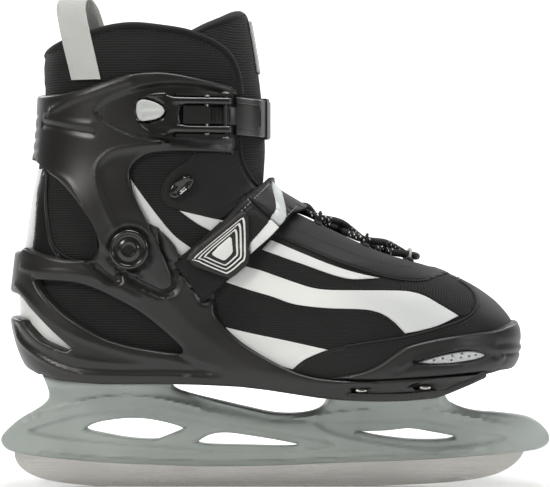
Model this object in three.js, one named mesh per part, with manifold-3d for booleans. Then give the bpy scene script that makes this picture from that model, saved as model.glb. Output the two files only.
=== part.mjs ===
// A soft-boot ice skate for the right foot: steel runner, plastic blade holder, moulded sole chassis,
// padded boot, pivoting ankle cuff with a ratchet buckle, and a hook-and-loop instep strap.
// Units are millimetres. +X points to the toe, +Z up, and -Y is the outer side that carries the buckle.
// The origin lies on the runner's flat underside, in the middle of the skate's length.
import * as THREE from "three";
import { mergeVertices } from "three/addons/utils/BufferGeometryUtils.js";
import Module from "manifold-3d";

const wasm = await Module();
wasm.setup();

// ---------------------------------------------------------------- driving dimensions
const CLEAR = 0.4; // gap between pieces that lie on each other
const UPPER_WALL = 2.5; // fabric of the boot
const PADDING = 5.2; // foam liner inside the fabric
const TONGUE_SINK = 0.8; // the tongue's face lies this far inside the boot's outer skin
const VAMP_SEAM = -12; // x where the vamp meets the two quarters
const CHASSIS_WALL = 5.4;
const CHASSIS_FLOOR = 4.5;
const POCKET_WALL = 2.8; // what is left of the chassis under the cuff's feet
const CUFF_WALL = 3.3;
const CUFF_LOW = POCKET_WALL + CLEAR + 0.7; // the cuff's inner face at the pivot, out from the boot
const CUFF_HIGH = 1.4; // the cuff's inner face round the ankle
const RUNNER_THICK = 4;
const RUNNER_FIT = 0.3; // slot wall to runner
const PIVOT = { x: -84, z: 142, shank: 4, hole: 4.4, head: 11.4, headThick: 3, nut: 8 };
const SHAFT_RADIUS = 60; // the boot's shaft turns with the cuff outside this radius
const SHAFT_FRONT_ANGLE = 34.5; // degrees above level where the turning shaft begins at the front
const SHAFT_BACK_ANGLE = 166; // and where it ends at the heel
const FLEX_GAP = { front: 7, back: 5.5 }; // degrees left open between the shaft and the fixed foot
const TOE_SWING = 6; // the toe bends inwards from the skate's midline
const TOE_REACH = 145;
const LACE = 4.4;
const BUCKLE = {
  x: -44, z: 219.3, turn: 14, plate: 2, ears: 12.4, earThick: 1.4, earGap: 0.6, leverPin: 2.8, pawlPin: 2.4,
};
const LADDER = { width: 10.6, thick: 2.2, sleeve: 22 };
const WEBBING = { from: 2.0, thick: 1.6 };
const PAD_THICK = 2.4;
const BADGE_THICK = 2.4;
const LOOP = { width: 18, thick: 1.6 };
const SIDE = 120; // reach of side cutters beyond the midline
// Surface detail finer than this is dropped.
const DETAIL = 0.08;
const SKIN_DETAIL = 0.2;
const HIDDEN_DETAIL = 0.35;

// ---------------------------------------------------------------- numbers along a curve
// A smooth, monotone curve through [at, value] knots.
function along(knots, at) {
  const last = knots.length - 1;
  if (at <= knots[0][0]) return knots[0][1];
  if (at >= knots[last][0]) return knots[last][1];
  let i = 0;
  while (at > knots[i + 1][0]) i++;
  const slope = (j) => {
    if (j <= 0 || j >= last) return 0;
    const a = (knots[j][1] - knots[j - 1][1]) / (knots[j][0] - knots[j - 1][0]);
    const b = (knots[j + 1][1] - knots[j][1]) / (knots[j + 1][0] - knots[j][0]);
    return a * b <= 0 ? 0 : (2 * a * b) / (a + b);
  };
  const [x0, y0] = knots[i];
  const [x1, y1] = knots[i + 1];
  const h = x1 - x0;
  const t = (at - x0) / h;
  const t2 = t * t;
  const t3 = t2 * t;
  return (
    (2 * t3 - 3 * t2 + 1) * y0 + (t3 - 2 * t2 + t) * h * slope(i) +
    (3 * t2 - 2 * t3) * y1 + (t3 - t2) * h * slope(i + 1)
  );
}
const clamp01 = (t) => Math.min(1, Math.max(0, t));
const ease = (t) => clamp01(t) ** 2 * (3 - 2 * clamp01(t));

// ---------------------------------------------------------------- the boot's outer skin
// Level slices: [height, x] of the heel line and of the toe, instep and shin line.
const HEEL_LINE = [
  [50, -118], [60, -128], [65, -134], [70, -140.4], [75.6, -144], [81.6, -147], [88.8, -149.5], [100, -151.8],
  [112, -152.2], [130, -150.5], [148, -148.2], [172, -144.6], [188, -141.6], [214, -138.6], [235, -137.4],
  [292, -137.4],
];
const FRONT_LINE = [
  [50, 92], [55, 98], [58, 103], [62, 112], [65, 119], [68, 125], [70, 133], [73, 139], [78, 142.5],
  [84, 143.9], [92, 143.6], [99, 141], [108.6, 133.5], [117.6, 122], [124.2, 110], [129.6, 98], [133.5, 88],
  [137.4, 74], [141.6, 61.8], [147.6, 48.6], [154.8, 33.6], [160.8, 21], [168, 7], [174, -2], [181, -6.2],
  [201.6, -5], [213.6, -5.4], [237.6, -7.8], [255.6, -10.2], [276.6, -13.8], [292, -16.5],
];
const SOLE_BREADTH = [[-150, 37], [-110, 37.5], [-50, 37], [0, 43], [50, 49.5], [100, 49], [145, 45]];
const SHAFT_BREADTH = [[-150, 40], [-75, 43], [0, 38], [50, 43], [100, 45], [145, 45]];
const BREADTH_SHARE = [[50, 0.86], [58, 0.93], [66, 0.98], [74, 1], [292, 1]];
const HEEL_ROUND = [[50, 42], [150, 43], [200, 48], [292, 48]];
const FRONT_ROUND = [
  [50, 50], [95, 50], [110, 60], [125, 75], [150, 75], [165, 62], [180, 54], [200, 60], [292, 62],
];
const ROUND_POWER = 2.3;
const SOLE_LEVEL = 80; // breadth passes from the sole's to the shaft's over this height
const SOLE_TO_SHAFT = 90;

// Moves a [height, x] line out along its own normal.
const movedLines = new Map();
function moved(line, out, side) {
  const key = side + ":" + out;
  if (!movedLines.has(key)) {
    movedLines.set(key, line.map(([z, x], i) => {
      const a = line[Math.max(i - 1, 0)];
      const b = line[Math.min(i + 1, line.length - 1)];
      const dz = b[0] - a[0];
      const dx = b[1] - a[1];
      const length = Math.hypot(dz, dx);
      return [z - (side * out * dx) / length, x + (side * out * dz) / length];
    }));
  }
  return movedLines.get(key);
}
const heelX = (z, out) => along(moved(HEEL_LINE, out, -1), z);
const frontX = (z, out) => along(moved(FRONT_LINE, out, 1), z);

// Half the boot's breadth at (x, z), `out` millimetres outside its skin.
function halfBreadth(x, z, out = 0) {
  const back = heelX(z, out);
  const front = frontX(z, out);
  if (x <= back || x >= front) return 0;
  const up = ease((z - SOLE_LEVEL) / SOLE_TO_SHAFT);
  const level = (1 - up) * along(SOLE_BREADTH, x) + up * along(SHAFT_BREADTH, x);
  const full = level * along(BREADTH_SHARE, z) + out;
  const cap = (u) => (1 - (1 - clamp01(u)) ** ROUND_POWER) ** (1 / ROUND_POWER);
  const heelCap = cap((x - back) / (along(HEEL_ROUND, z) + out));
  const toeCap = cap((front - x) / (along(FRONT_ROUND, z) + out));
  return full * heelCap * toeCap;
}

const LEVELS = [50, 58, 66, 74, 82, 90, 97, 104, 111, 118, 124, 130, 135, 140, 146, 153, 161, 169, 176, 184, 195,
  208, 224, 240, 258, 288];
const HALF_RING = 12; // points from heel to toe on each side

// ---------------------------------------------------------------- solids
function solid(geometry) {
  const g = geometry.clone();
  g.deleteAttribute("normal");
  g.deleteAttribute("uv");
  const merged = mergeVertices(g, 1e-4);
  return new wasm.Manifold(new wasm.Mesh({
    numProp: 3,
    vertProperties: merged.attributes.position.array,
    triVerts: new Uint32Array(merged.index.array),
  }));
}

function geometryOf(body) {
  const mesh = body.getMesh();
  const position = new Float32Array(mesh.numVert * 3);
  for (let i = 0; i < mesh.numVert; i++)
    position.set(mesh.vertProperties.subarray(i * mesh.numProp, i * mesh.numProp + 3), i * 3);
  const g = new THREE.BufferGeometry();
  g.setAttribute("position", new THREE.BufferAttribute(position, 3));
  g.setIndex(new THREE.BufferAttribute(mesh.triVerts, 1));
  return g;
}

// The boot's skin moved out by `out` (a number, or a function of height), as one closed solid.
const lasts = new Map();
function last(out) {
  if (lasts.has(out)) return lasts.get(out);
  const outAt = typeof out === "function" ? out : () => out;
  const position = [];
  const index = [];
  const around = 2 * HALF_RING;
  for (const z of LEVELS) {
    const d = outAt(z);
    const back = heelX(z, d);
    const front = frontX(z, d);
    for (let k = 0; k < around; k++) {
      const share = (1 - Math.cos((Math.PI * k) / HALF_RING)) / 2;
      const x = back + (front - back) * share;
      const y = halfBreadth(x, z, d);
      position.push(x, k < HALF_RING ? -y : y, z);
    }
  }
  const ringStart = (level) => level * around;
  for (let level = 0; level + 1 < LEVELS.length; level++)
    for (let k = 0; k < around; k++) {
      const a = ringStart(level) + k;
      const b = ringStart(level) + ((k + 1) % around);
      index.push(a, b, b + around, a, b + around, a + around);
    }
  const top = ringStart(LEVELS.length - 1);
  for (let k = 1; k + 1 < around; k++) {
    index.push(0, k + 1, k);
    index.push(top, top + k, top + k + 1);
  }
  const g = new THREE.BufferGeometry();
  g.setAttribute("position", new THREE.Float32BufferAttribute(position, 3));
  g.setIndex(index);
  const made = solid(g);
  lasts.set(out, made);
  return made;
}

// ---------------------------------------------------------------- outlines and cutters
// Each run is a smooth curve through its points; runs meet at corners.
function outline(runs, perSpan = 2) {
  const points = [];
  for (const run of runs) {
    if (run.length === 2) {
      points.push(...run.map(([x, y]) => new THREE.Vector2(x, y)));
      continue;
    }
    const curve = new THREE.SplineCurve(run.map(([x, y]) => new THREE.Vector2(x, y)));
    points.push(...curve.getPoints((run.length - 1) * perSpan));
  }
  const kept = points.filter((p, i) => p.distanceTo(points[(i + 1) % points.length]) > 0.05);
  return THREE.ShapeUtils.isClockWise(kept) ? kept.reverse() : kept;
}

// Moves a closed outline outwards by `out`.
function grown(points, out) {
  const count = points.length;
  return points.map((p, i) => {
    const before = points[(i + count - 1) % count];
    const after = points[(i + 1) % count];
    const a = p.clone().sub(before).normalize();
    const b = after.clone().sub(p).normalize();
    const mitre = new THREE.Vector2(a.y + b.y, -(a.x + b.x)).normalize();
    const reach = out / Math.max(0.5, mitre.dot(new THREE.Vector2(a.y, -a.x)));
    return p.clone().addScaledVector(mitre, reach);
  });
}

// A side outline (x, z) pushed through from y0 to y1.
function sidePrism(points, y0 = -SIDE, y1 = SIDE) {
  const g = new THREE.ExtrudeGeometry(new THREE.Shape(points), { depth: y1 - y0, bevelEnabled: false });
  g.rotateX(Math.PI / 2).translate(0, y1, 0);
  return solid(g);
}

// A plan outline (x, y) pushed up from z0 to z1.
function planPrism(points, z0, z1) {
  const g = new THREE.ExtrudeGeometry(new THREE.Shape(points), { depth: z1 - z0, bevelEnabled: false });
  g.translate(0, 0, z0);
  return solid(g);
}

// A cross outline (y, z) pushed along x from x0 to x1.
function crossPrism(points, x0, x1) {
  const g = new THREE.ExtrudeGeometry(new THREE.Shape(points), { depth: x1 - x0, bevelEnabled: false });
  g.applyMatrix4(new THREE.Matrix4().set(0, 0, 1, x0, 1, 0, 0, 0, 0, 1, 0, 0, 0, 0, 0, 1));
  return solid(g);
}

function block(x0, x1, y0, y1, z0, z1) {
  const g = new THREE.BoxGeometry(x1 - x0, y1 - y0, z1 - z0);
  g.translate((x0 + x1) / 2, (y0 + y1) / 2, (z0 + z1) / 2);
  return solid(g);
}

// A round bar along axis "x", "y" or "z", from a to b.
function bar(axis, radius, a, b, centre, sides = 24) {
  const g = new THREE.CylinderGeometry(radius, radius, b - a, sides);
  g.translate(0, (a + b) / 2, 0);
  if (axis === "z") g.rotateX(Math.PI / 2);
  if (axis === "x") g.rotateZ(-Math.PI / 2);
  g.translate(...centre);
  return solid(g);
}

const shell = (outer, inner) => last(outer).subtract(last(inner));
const unite = (...bodies) => bodies.reduce((a, b) => a.add(b));

// ---------------------------------------------------------------- node making
const skate = new THREE.Group();
skate.name = "skate";

function material(color, roughness, metalness = 0) {
  return new THREE.MeshStandardMaterial({ color, roughness, metalness });
}
const STEEL = material(0xb9b8b4, 0.3, 1);
const HOLDER_GREY = material(0x9aa19d, 0.45);
const BLACK_PLASTIC = material(0x1c1c1c, 0.4);
const BLACK_RUBBER = material(0x181818, 0.6);
const BLACK_FABRIC = material(0x151515, 0.9);
const LINING = material(0x1a1a1c, 0.95);
const GREY_WEBBING = material(0xb9b9b2, 0.9);
const PALE_PLASTIC = material(0xdcdcd4, 0.5);
const SILVER_MESH = material(0xc8c9ca, 0.4, 0.4);
const LACE_BLACK = material(0x111111, 0.9);
const BOARD = material(0x6b6257, 0.9);

function addNode(name, body, finish, parent = skate, detail = DETAIL) {
  const mesh = new THREE.Mesh(geometryOf(body.simplify(detail)), finish);
  mesh.name = name;
  parent.add(mesh);
  return mesh;
}

// Pieces built on the boot's last share the inward bend of its toe.
function toeBend(x) {
  return x > 0 ? TOE_SWING * (x / TOE_REACH) ** 2 : 0;
}
function addLasted(name, body, finish, detail = DETAIL) {
  const mesh = addNode(name, body, finish, skate, detail);
  const position = mesh.geometry.attributes.position;
  for (let i = 0; i < position.count; i++) position.setY(i, position.getY(i) + toeBend(position.getX(i)));
  return mesh;
}

// ---------------------------------------------------------------- runner and blade holder
const RUNNER_UNDER = [
  [[-156, 25.5], [-156, 18.6], [-154.2, 13.8], [-150, 9.6], [-143.4, 6], [-133.8, 3.3], [-121.8, 1.5], [-105, 0]],
  [[-105, 0], [51, 0]],
  [[51, 0], [78, 0.9], [99, 2.1], [114, 3.6], [126, 5.7], [135, 8.4], [142.2, 12.6], [147.6, 18], [151, 25.5]],
];
const RUNNER_TOP = [[[151, 25.5], [100, 23], [27, 20.5], [-40, 19.8], [-100, 22.5], [-156, 25.5]]];
const runnerOutline = outline([...RUNNER_UNDER, ...RUNNER_TOP]);

function makeRunner() {
  addNode("runner", sidePrism(runnerOutline, -RUNNER_THICK / 2, RUNNER_THICK / 2), STEEL);
}

// The chassis's underside, which the holder's two towers meet.
const SOLE_LINE = [
  [-136, 68.6], [-126, 65.6], [-102, 64], [-62, 63.8], [-43, 63.4], [-20, 62.4], [-3, 60.6], [15, 58.2], [31, 56],
  [42, 55], [57, 54.4], [75, 54.6], [93, 55.8], [99, 57.2], [110, 61.6], [120, 66.4], [150, 70],
];
function soleZ(x) {
  let i = 1;
  while (i < SOLE_LINE.length - 1 && x > SOLE_LINE[i][0]) i++;
  const [[x0, z0], [x1, z1]] = [SOLE_LINE[i - 1], SOLE_LINE[i]];
  return z0 + ((z1 - z0) * (x - x0)) / (x1 - x0);
}
// The sole line from x0 to x1, `rise` above the chassis's underside.
function soleTrack(x0, x1, rise) {
  const [a, b] = [Math.min(x0, x1), Math.max(x0, x1)];
  const between = SOLE_LINE.map(([x]) => x).filter((x) => x > a + 0.5 && x < b - 0.5);
  const track = [a, ...between, b].map((x) => [x, soleZ(x) + rise]);
  return x0 < x1 ? track : track.reverse();
}
const straight = (points) => points.slice(1).map((p, i) => [points[i], p]);
const TOWERS = { rear: [-141, -63], front: [31.5, 100] };
const HOLDER_RUNS = {
  rear: [[-137, 67.6], [-134.5, 61], [-134.5, 54.4], [-137.4, 50.4], [-145, 45.2], [-153, 40.6], [-160.2, 34.2],
    [-163.6, 28.6], [-161, 23.4], [-155, 20.6], [-138, 17.4]],
  under: [[-138, 17.4], [-105, 14.4], [-75, 12.9], [-39, 11.8], [-3, 12.3], [27, 13.5], [87, 15.9], [123, 18.3],
    [150, 21]],
  nose: [[150, 21], [157.8, 22.8], [162.6, 25.8], [163.8, 29.4], [162, 34.2], [156.5, 39.6], [149, 42.3],
    [135, 44.1], [121, 45.3], [112, 47.4], [104, 51.4], [100, 57.2]],
  gap: [[31.5, 55.6], [30, 49.6], [25, 46.2], [18, 44.4], [9, 43.7], [-2, 44.4], [-15, 47.1], [-33, 51.3],
    [-51, 55.8], [-60, 59.2], [-63, 63.2]],
};
const WINDOWS = {
  rear: [[[-112.8, 34.8], [-110.4, 36.9], [-103, 39.3], [-88, 41.1], [-75, 40.5], [-62, 37.8], [-54.9, 35.1],
    [-58, 33.2], [-66, 30], [-72, 28.4], [-87, 29.2], [-99, 31.2], [-109.8, 33.3]]],
  middle: [[[-46.2, 26.7], [-43.2, 29.1], [-37, 31.7], [-28, 32.4], [-15, 30.7], [3, 27.7], [13.8, 25.2],
    [6, 24.4], [-18, 24.9], [-40, 25.5]]],
  front: [[[49.2, 33.4], [57, 33.3], [68, 33.8], [80, 35], [92, 33.3], [106.8, 30.3], [104, 28.7], [95, 28.1],
    [80, 28.4], [63, 30.4], [54, 32.2]]],
};

function makeHolder() {
  const { rear, under, nose, gap } = HOLDER_RUNS;
  const top = (x0, x1) => straight(soleTrack(x0, x1, -CLEAR));
  const side = sidePrism(outline([rear, under, nose, ...top(100, 31.5), gap, ...top(-63, -137)]));
  // Half-thickness over height, for the rails and for a tower that flares out under the sole.
  const section = (knots) => {
    const right = knots.map(([z, half]) => new THREE.Vector2(half, z));
    return [...right, ...right.map((p) => new THREE.Vector2(-p.x, p.y)).reverse()];
  };
  const rails = crossPrism(section([
    [5, 4.6], [18, 5.6], [24, 7.6], [32, 9], [44, 9.6], [62, 10], [75, 10],
  ]), -170, 170);
  const flare = (topZ, x0, x1) => crossPrism(section([
    [topZ - 20, 9.2], [topZ - 13, 11.5], [topZ - 7, 16], [topZ - 2.5, 22], [topZ + 6, 23.5],
  ]), x0, x1);
  const rearTop = soleZ(TOWERS.rear[1]);
  const frontTop = soleZ(57);
  const body = unite(rails, flare(rearTop, TOWERS.rear[0], -60), flare(frontTop, 28, 104)).intersect(side);
  const slotTop = grown(runnerOutline, RUNNER_FIT);
  let holder = body.subtract(sidePrism(slotTop, -RUNNER_THICK / 2 - RUNNER_FIT, RUNNER_THICK / 2 + RUNNER_FIT));
  for (const runs of Object.values(WINDOWS)) holder = holder.subtract(sidePrism(outline(runs)));
  for (const { x, y } of RIVETS) {
    const hole = bar("z", RIVET.hole, soleZ(x) - RIVET.grip - 1, soleZ(x) + 5, [x, y + toeBend(x), 0], 16);
    holder = holder.subtract(hole);
  }
  addNode("blade_holder", holder, HOLDER_GREY);
}

// Rivets that hold the holder's towers to the sole.
const RIVET = { shank: 2.4, hole: 2.8, head: 5, headThick: 1.1, grip: 7 };
const RIVETS = [
  { name: "heel_rivet_outer", x: -112, y: -14 },
  { name: "heel_rivet_inner", x: -112, y: 14 },
  { name: "instep_rivet", x: -76, y: 0 },
  { name: "ball_rivet", x: 46, y: 0 },
  { name: "toe_rivet_outer", x: 84, y: -14 },
  { name: "toe_rivet_inner", x: 84, y: 14 },
];
const rivetSeat = (x) => soleZ(x) + CHASSIS_FLOOR - 0.6;
function makeRivets() {
  for (const { name, x, y } of RIVETS) {
    const seat = rivetSeat(x);
    addNode(name, unite(
      bar("z", RIVET.shank, soleZ(x) - RIVET.grip, seat + 0.5, [x, y + toeBend(x), 0], 12),
      bar("z", RIVET.head, seat, seat + RIVET.headThick, [x, y + toeBend(x), 0], 12),
    ), STEEL);
  }
}

// ---------------------------------------------------------------- heights above the sole line
function bandAbove(low, high, x0 = -165, x1 = 150) {
  return outline([...straight(soleTrack(x0, x1, low)), ...straight(soleTrack(x1, x0, high))]);
}
const HEADROOM = 300;
const aboveFloor = (height) => sidePrism(bandAbove(height, HEADROOM));
const BOARD_BASE = CHASSIS_FLOOR + RIVET.headThick + 3 * CLEAR;
const BOARD_THICK = 2;
const INSOLE_BASE = BOARD_BASE + BOARD_THICK + CLEAR;
const INSOLE_THICK = 5;

// ---------------------------------------------------------------- cuff outline
const CUFF_RUNS = [
  [[-160, 236], [-133.8, 232.5], [-116.1, 234.2], [-100.7, 238.5], [-85, 243], [-69, 244.4], [-57.6, 243.6],
    [-43.3, 241], [-24, 236.6], [-21, 233.1]],
  [[-21, 233.1], [-21.5, 200.4], [-23.8, 198]],
  [[-23.8, 198], [-49, 198.8], [-66, 198.2], [-77, 195.4], [-84.2, 187.2], [-79.9, 171.7], [-66.2, 143.5],
    [-59.7, 127.3], [-60.4, 120.4], [-65.8, 118.7], [-75, 122.7], [-88.7, 130.5]],
  [[-88.7, 130.5], [-91.6, 126.8], [-95, 126.6], [-105.4, 136]],
  [[-105.4, 136], [-101.9, 145.8], [-107.6, 160.2], [-120.7, 176.4], [-135.8, 188.4], [-160, 203]],
];
const cuffOutline = outline(CUFF_RUNS);
const cuffInner = (z) => CUFF_HIGH + (CUFF_LOW - CUFF_HIGH) * (1 - ease((z - 160) / 38));
const cuffOuter = (z) => cuffInner(z) + CUFF_WALL;

// ---------------------------------------------------------------- chassis
const CHASSIS_RUNS = [
  [[-170, 141], [-151.6, 141.1], [-147.8, 143.2], [-141, 140.5], [-123.1, 136.3], [-105.5, 136]],
  [[-105.5, 136], [-96, 150], [-74, 158], [-58, 147], [-51.4, 138.3]],
  [[-51.4, 138.3], [-45.6, 131.3], [-36.4, 119.8], [-34.7, 115.1], [-35.3, 108.8], [-33.5, 101.8], [-20.2, 88.6],
    [2.9, 75.3], [23, 68.6], [51.5, 66.3], [71.6, 67], [94.5, 68.4], [124, 70.2]],
  [[124, 70.2], [124.2, 66.4], [115, 62.6], [104, 58.6], [99, 57.2]],
];
const CHASSIS_WINDOW = [[
  [-140.8, 124.3], [-121.3, 123.3], [-109.7, 121], [-98.2, 116.3], [-78, 105.1], [-60.7, 90.8], [-54.4, 83.9],
  [-58, 82], [-78.1, 84.8], [-90.8, 87.7], [-103.5, 92.3], [-123.2, 104.1], [-136.4, 116.8],
]];
const HEEL_SLIT = [
  [[-175, 117], [-153, 116], [-142.7, 106.8], [-130.4, 94.8], [-119.2, 85]],
  [[-119.2, 85], [-123, 83.8], [-130.5, 86.4], [-139, 90.2], [-147.3, 97.9], [-152, 101.5], [-175, 103]],
];
const STRAP_RUNS = [[[-57.9, 133.6], [-41.7, 111]]];
const STRAP_FAR = [[40, 190], [12, 196]]; // beyond the instep ridge
const SLOTS = [{ x: 52.5, z: 60.6, length: 12 }, { x: 92, z: 62.6, length: 12 }];
const SLOT_HEIGHT = 2.6;

function strapBand(grow = 0) {
  return grown(outline([...STRAP_RUNS, [STRAP_FAR[0], STRAP_FAR[1]]]), grow);
}

function makeChassis() {
  const runs = [...CHASSIS_RUNS, ...straight(soleTrack(99, -140, 0)), [[-140, soleZ(-140)], [-170, 80]]];
  const outer = CHASSIS_WALL + 0.6;
  let body = last(outer).intersect(sidePrism(outline(runs)));
  body = body.subtract(last(0.6).intersect(aboveFloor(CHASSIS_FLOOR)));
  body = body.subtract(sidePrism(outline([...CHASSIS_WINDOW])).subtract(block(-200, 200, -20, 20, 0, 300)));
  body = body.subtract(sidePrism(outline(HEEL_SLIT)));
  // The cuff's feet swing in a pocket.
  const pocketFloor = 0.6 + POCKET_WALL;
  body = body.subtract(sidePrism(grown(cuffOutline, 4.2)).subtract(last(pocketFloor)));
  // The strap's ends are let into the arms.
  body = body.subtract(sidePrism(strapBand(CLEAR)).subtract(last(WEBBING.from - CLEAR)));
  for (const side of [-1, 1]) {
    const centre = [PIVOT.x, 0, PIVOT.z];
    const reach = side * SIDE;
    body = body.subtract(bar("y", PIVOT.hole, Math.min(0, reach), Math.max(0, reach), centre));
    const nutFace = halfBreadth(PIVOT.x, PIVOT.z, 0) + NUT_DEPTH;
    const [a, b] = [side * 10, side * nutFace].sort((p, q) => p - q);
    body = body.subtract(bar("y", PIVOT.nut + CLEAR, a, b, centre));
  }
  for (const { x, z, length } of SLOTS) {
    const [x0, x1] = [x - length / 2, x + length / 2];
    const [z0, z1] = [z - SLOT_HEIGHT / 2, z + SLOT_HEIGHT / 2];
    const slot = sidePrism(outline([[[x0, z0], [x1, z0]], [[x1, z1], [x0, z1]]]));
    body = body.subtract(slot.subtract(block(-200, 200, -34, 34, 0, 300)));
  }
  for (const { x, y } of RIVETS)
    body = body.subtract(bar("z", RIVET.hole, 40, 90, [x, y, 0], 16))
      .subtract(bar("z", RIVET.head + CLEAR, rivetSeat(x) - CLEAR, 90, [x, y, 0], 16));
  addLasted("sole_chassis", body, BLACK_PLASTIC, SKIN_DETAIL);
}

// ---------------------------------------------------------------- cuff and its pivots
const NUT_DEPTH = 0.6 + 1.5; // how far out the nut's counterbore reaches in the chassis wall

const FLEX = { back: -4, forward: 6 }; // degrees the cuff swings about its pivots

// The space the cuff passes through as it swings, with a little to spare.
const cuffInnerClear = (z) => cuffInner(z) - 0.3;
const cuffOuterClear = (z) => cuffOuter(z) + 0.3;
function cuffSweep() {
  const roomy = last(cuffOuterClear).subtract(last(cuffInnerClear)).intersect(sidePrism(grown(cuffOutline, 0.4)))
    .translate(-PIVOT.x, 0, -PIVOT.z);
  const turned = [0.25, 0.5, 0.75, 1].map((share) => roomy.rotate(0, FLEX.forward * share, 0));
  return unite(...turned, roomy.rotate(0, FLEX.back, 0)).translate(PIVOT.x, 0, PIVOT.z);
}

function makeCuff() {
  let body = last(cuffOuter).subtract(last(cuffInner)).intersect(sidePrism(cuffOutline));
  body = body.subtract(bar("y", PIVOT.hole, -SIDE, SIDE, [PIVOT.x, 0, PIVOT.z]));
  // A flat pad carries the buckle's base.
  const pad = buckleSolid(block(-20, 20, CLEAR, 12, -BUCKLE.ears, BUCKLE.ears)).subtract(last(cuffInner));
  const seat = buckleSolid(block(-21, 21, -30, CLEAR, -BUCKLE.ears - CLEAR, BUCKLE.ears + CLEAR));
  body = body.add(pad).subtract(seat);
  for (const x of BUCKLE_RIVETS) body = body.subtract(buckleSolid(bar("y", 1.9, -30, 30, [x, 0, 0], 16)));
  body = body.subtract(bar("y", 2.3, 20, SIDE, [LADDER_RIVET.x, 0, LADDER_RIVET.z], 16));
  addNode("ankle_cuff", body, BLACK_PLASTIC, skate, SKIN_DETAIL);
}

function makePivots() {
  const face = halfBreadth(PIVOT.x, PIVOT.z, cuffOuter(PIVOT.z));
  const nutAt = halfBreadth(PIVOT.x, PIVOT.z, 0) + 0.6;
  for (const [name, side] of [["outer", -1], ["inner", 1]]) {
    const centre = [PIVOT.x, 0, PIVOT.z];
    const span = (a, b) => [Math.min(side * a, side * b), Math.max(side * a, side * b)];
    const head = face + 0.9;
    addNode("pivot_bolt_" + name, unite(
      bar("y", PIVOT.head, ...span(head, head + PIVOT.headThick), centre, 36),
      bar("y", PIVOT.shank, ...span(nutAt + 0.2, head + 0.5), centre),
    ), BLACK_PLASTIC);
    addNode("pivot_nut_" + name, bar("y", PIVOT.nut, ...span(nutAt, nutAt + 1), centre).subtract(
      bar("y", PIVOT.hole, ...span(nutAt - 1, nutAt + 2), centre)), STEEL);
  }
}

// ---------------------------------------------------------------- boot
const UPPER_RUNS = [
  [[-165, 257], [-137.4, 258], [-125.8, 262.8], [-110, 267.7], [-95.5, 271.4], [-82, 272.8], [-66.5, 271.4],
    [-50, 268.8], [-35, 263], [-26, 255], [-21.5, 243], [-20.5, 234]],
  [[-20.5, 234], [-20.5, 200.2], [-18.8, 192.7], [-14.7, 184.6], [-9, 178]],
  [[-9, 178], [-2, 190], [40, 170], [170, 130], [170, 60], [170, 30]],
  [[170, 30], [-165, 30]],
];
const TONGUE_RUNS = [
  [[-52, 266], [-41.9, 272.1], [-31, 277.5], [-19.6, 283.8], [-10, 287]],
  [[-10, 287], [25, 287]],
  [[25, 287], [25, 150]],
  [[25, 150], [-28, 162], [-40, 185], [-46, 215], [-50, 245], [-52, 266]],
];
const THROAT = { from: -30, to: 92, half: 13 }; // the lacing gap along the instep
const TONGUE_LAP = 7; // the tongue reaches this far under the lacing's edges

function throat(grow) {
  const { from, to, half } = THROAT;
  const w = half + grow;
  return planPrism(outline([
    [[from, -w], [to - half, -w]],
    [[to - half, -w], [to + grow - 3, -w * 0.75], [to + grow, 0], [to + grow - 3, w * 0.75], [to - half, w]],
    [[to - half, w], [from, w]],
  ]), 115, 200);
}

// Where the shaft turns with the cuff, and where the foot stays.
function turningSector(radius, angle, backAngle) {
  const rad = THREE.MathUtils.degToRad;
  const points = [];
  const steps = 16;
  for (let k = 0; k <= steps; k++) {
    const a = rad(angle + ((backAngle - angle) * k) / steps);
    points.push(new THREE.Vector2(PIVOT.x + radius * Math.cos(a), PIVOT.z + radius * Math.sin(a)));
  }
  const back = rad(backAngle);
  const front = rad(angle);
  const far = 220;
  points.push(new THREE.Vector2(PIVOT.x + far * Math.cos(back), PIVOT.z + far * Math.sin(back)));
  points.push(new THREE.Vector2(PIVOT.x - far, PIVOT.z + 200));
  points.push(new THREE.Vector2(PIVOT.x + far, PIVOT.z + 200));
  points.push(new THREE.Vector2(PIVOT.x + far * Math.cos(front), PIVOT.z + far * Math.sin(front)));
  return sidePrism(THREE.ShapeUtils.isClockWise(points) ? points.reverse() : points);
}
const shaftZone = turningSector(SHAFT_RADIUS + CLEAR, SHAFT_FRONT_ANGLE, SHAFT_BACK_ANGLE);
const notFoot = turningSector(SHAFT_RADIUS - CLEAR, SHAFT_FRONT_ANGLE - FLEX_GAP.front,
  SHAFT_BACK_ANGLE + FLEX_GAP.back);

// The foot's covering is a vamp over the toes and one quarter on each side of the heel.
function addFootPanels(body, prefix, finish, detail) {
  const gap = CLEAR / 2;
  const far = 200;
  const panels = [
    ["_vamp", block(VAMP_SEAM + gap, far, -far, far, 0, 2 * far)],
    ["_quarter_outer", block(-far, VAMP_SEAM - gap, -far, -gap, 0, 2 * far)],
    ["_quarter_inner", block(-far, VAMP_SEAM - gap, gap, far, 0, 2 * far)],
  ];
  for (const [suffix, zone] of panels) addLasted(prefix + suffix, body.intersect(zone), finish, detail);
}
function splitAtAnkle(body, footName, shaftName, finish, detail) {
  addLasted(footName, body.subtract(notFoot), finish, detail);
  addLasted(shaftName, body.intersect(shaftZone), finish, detail);
}

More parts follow.
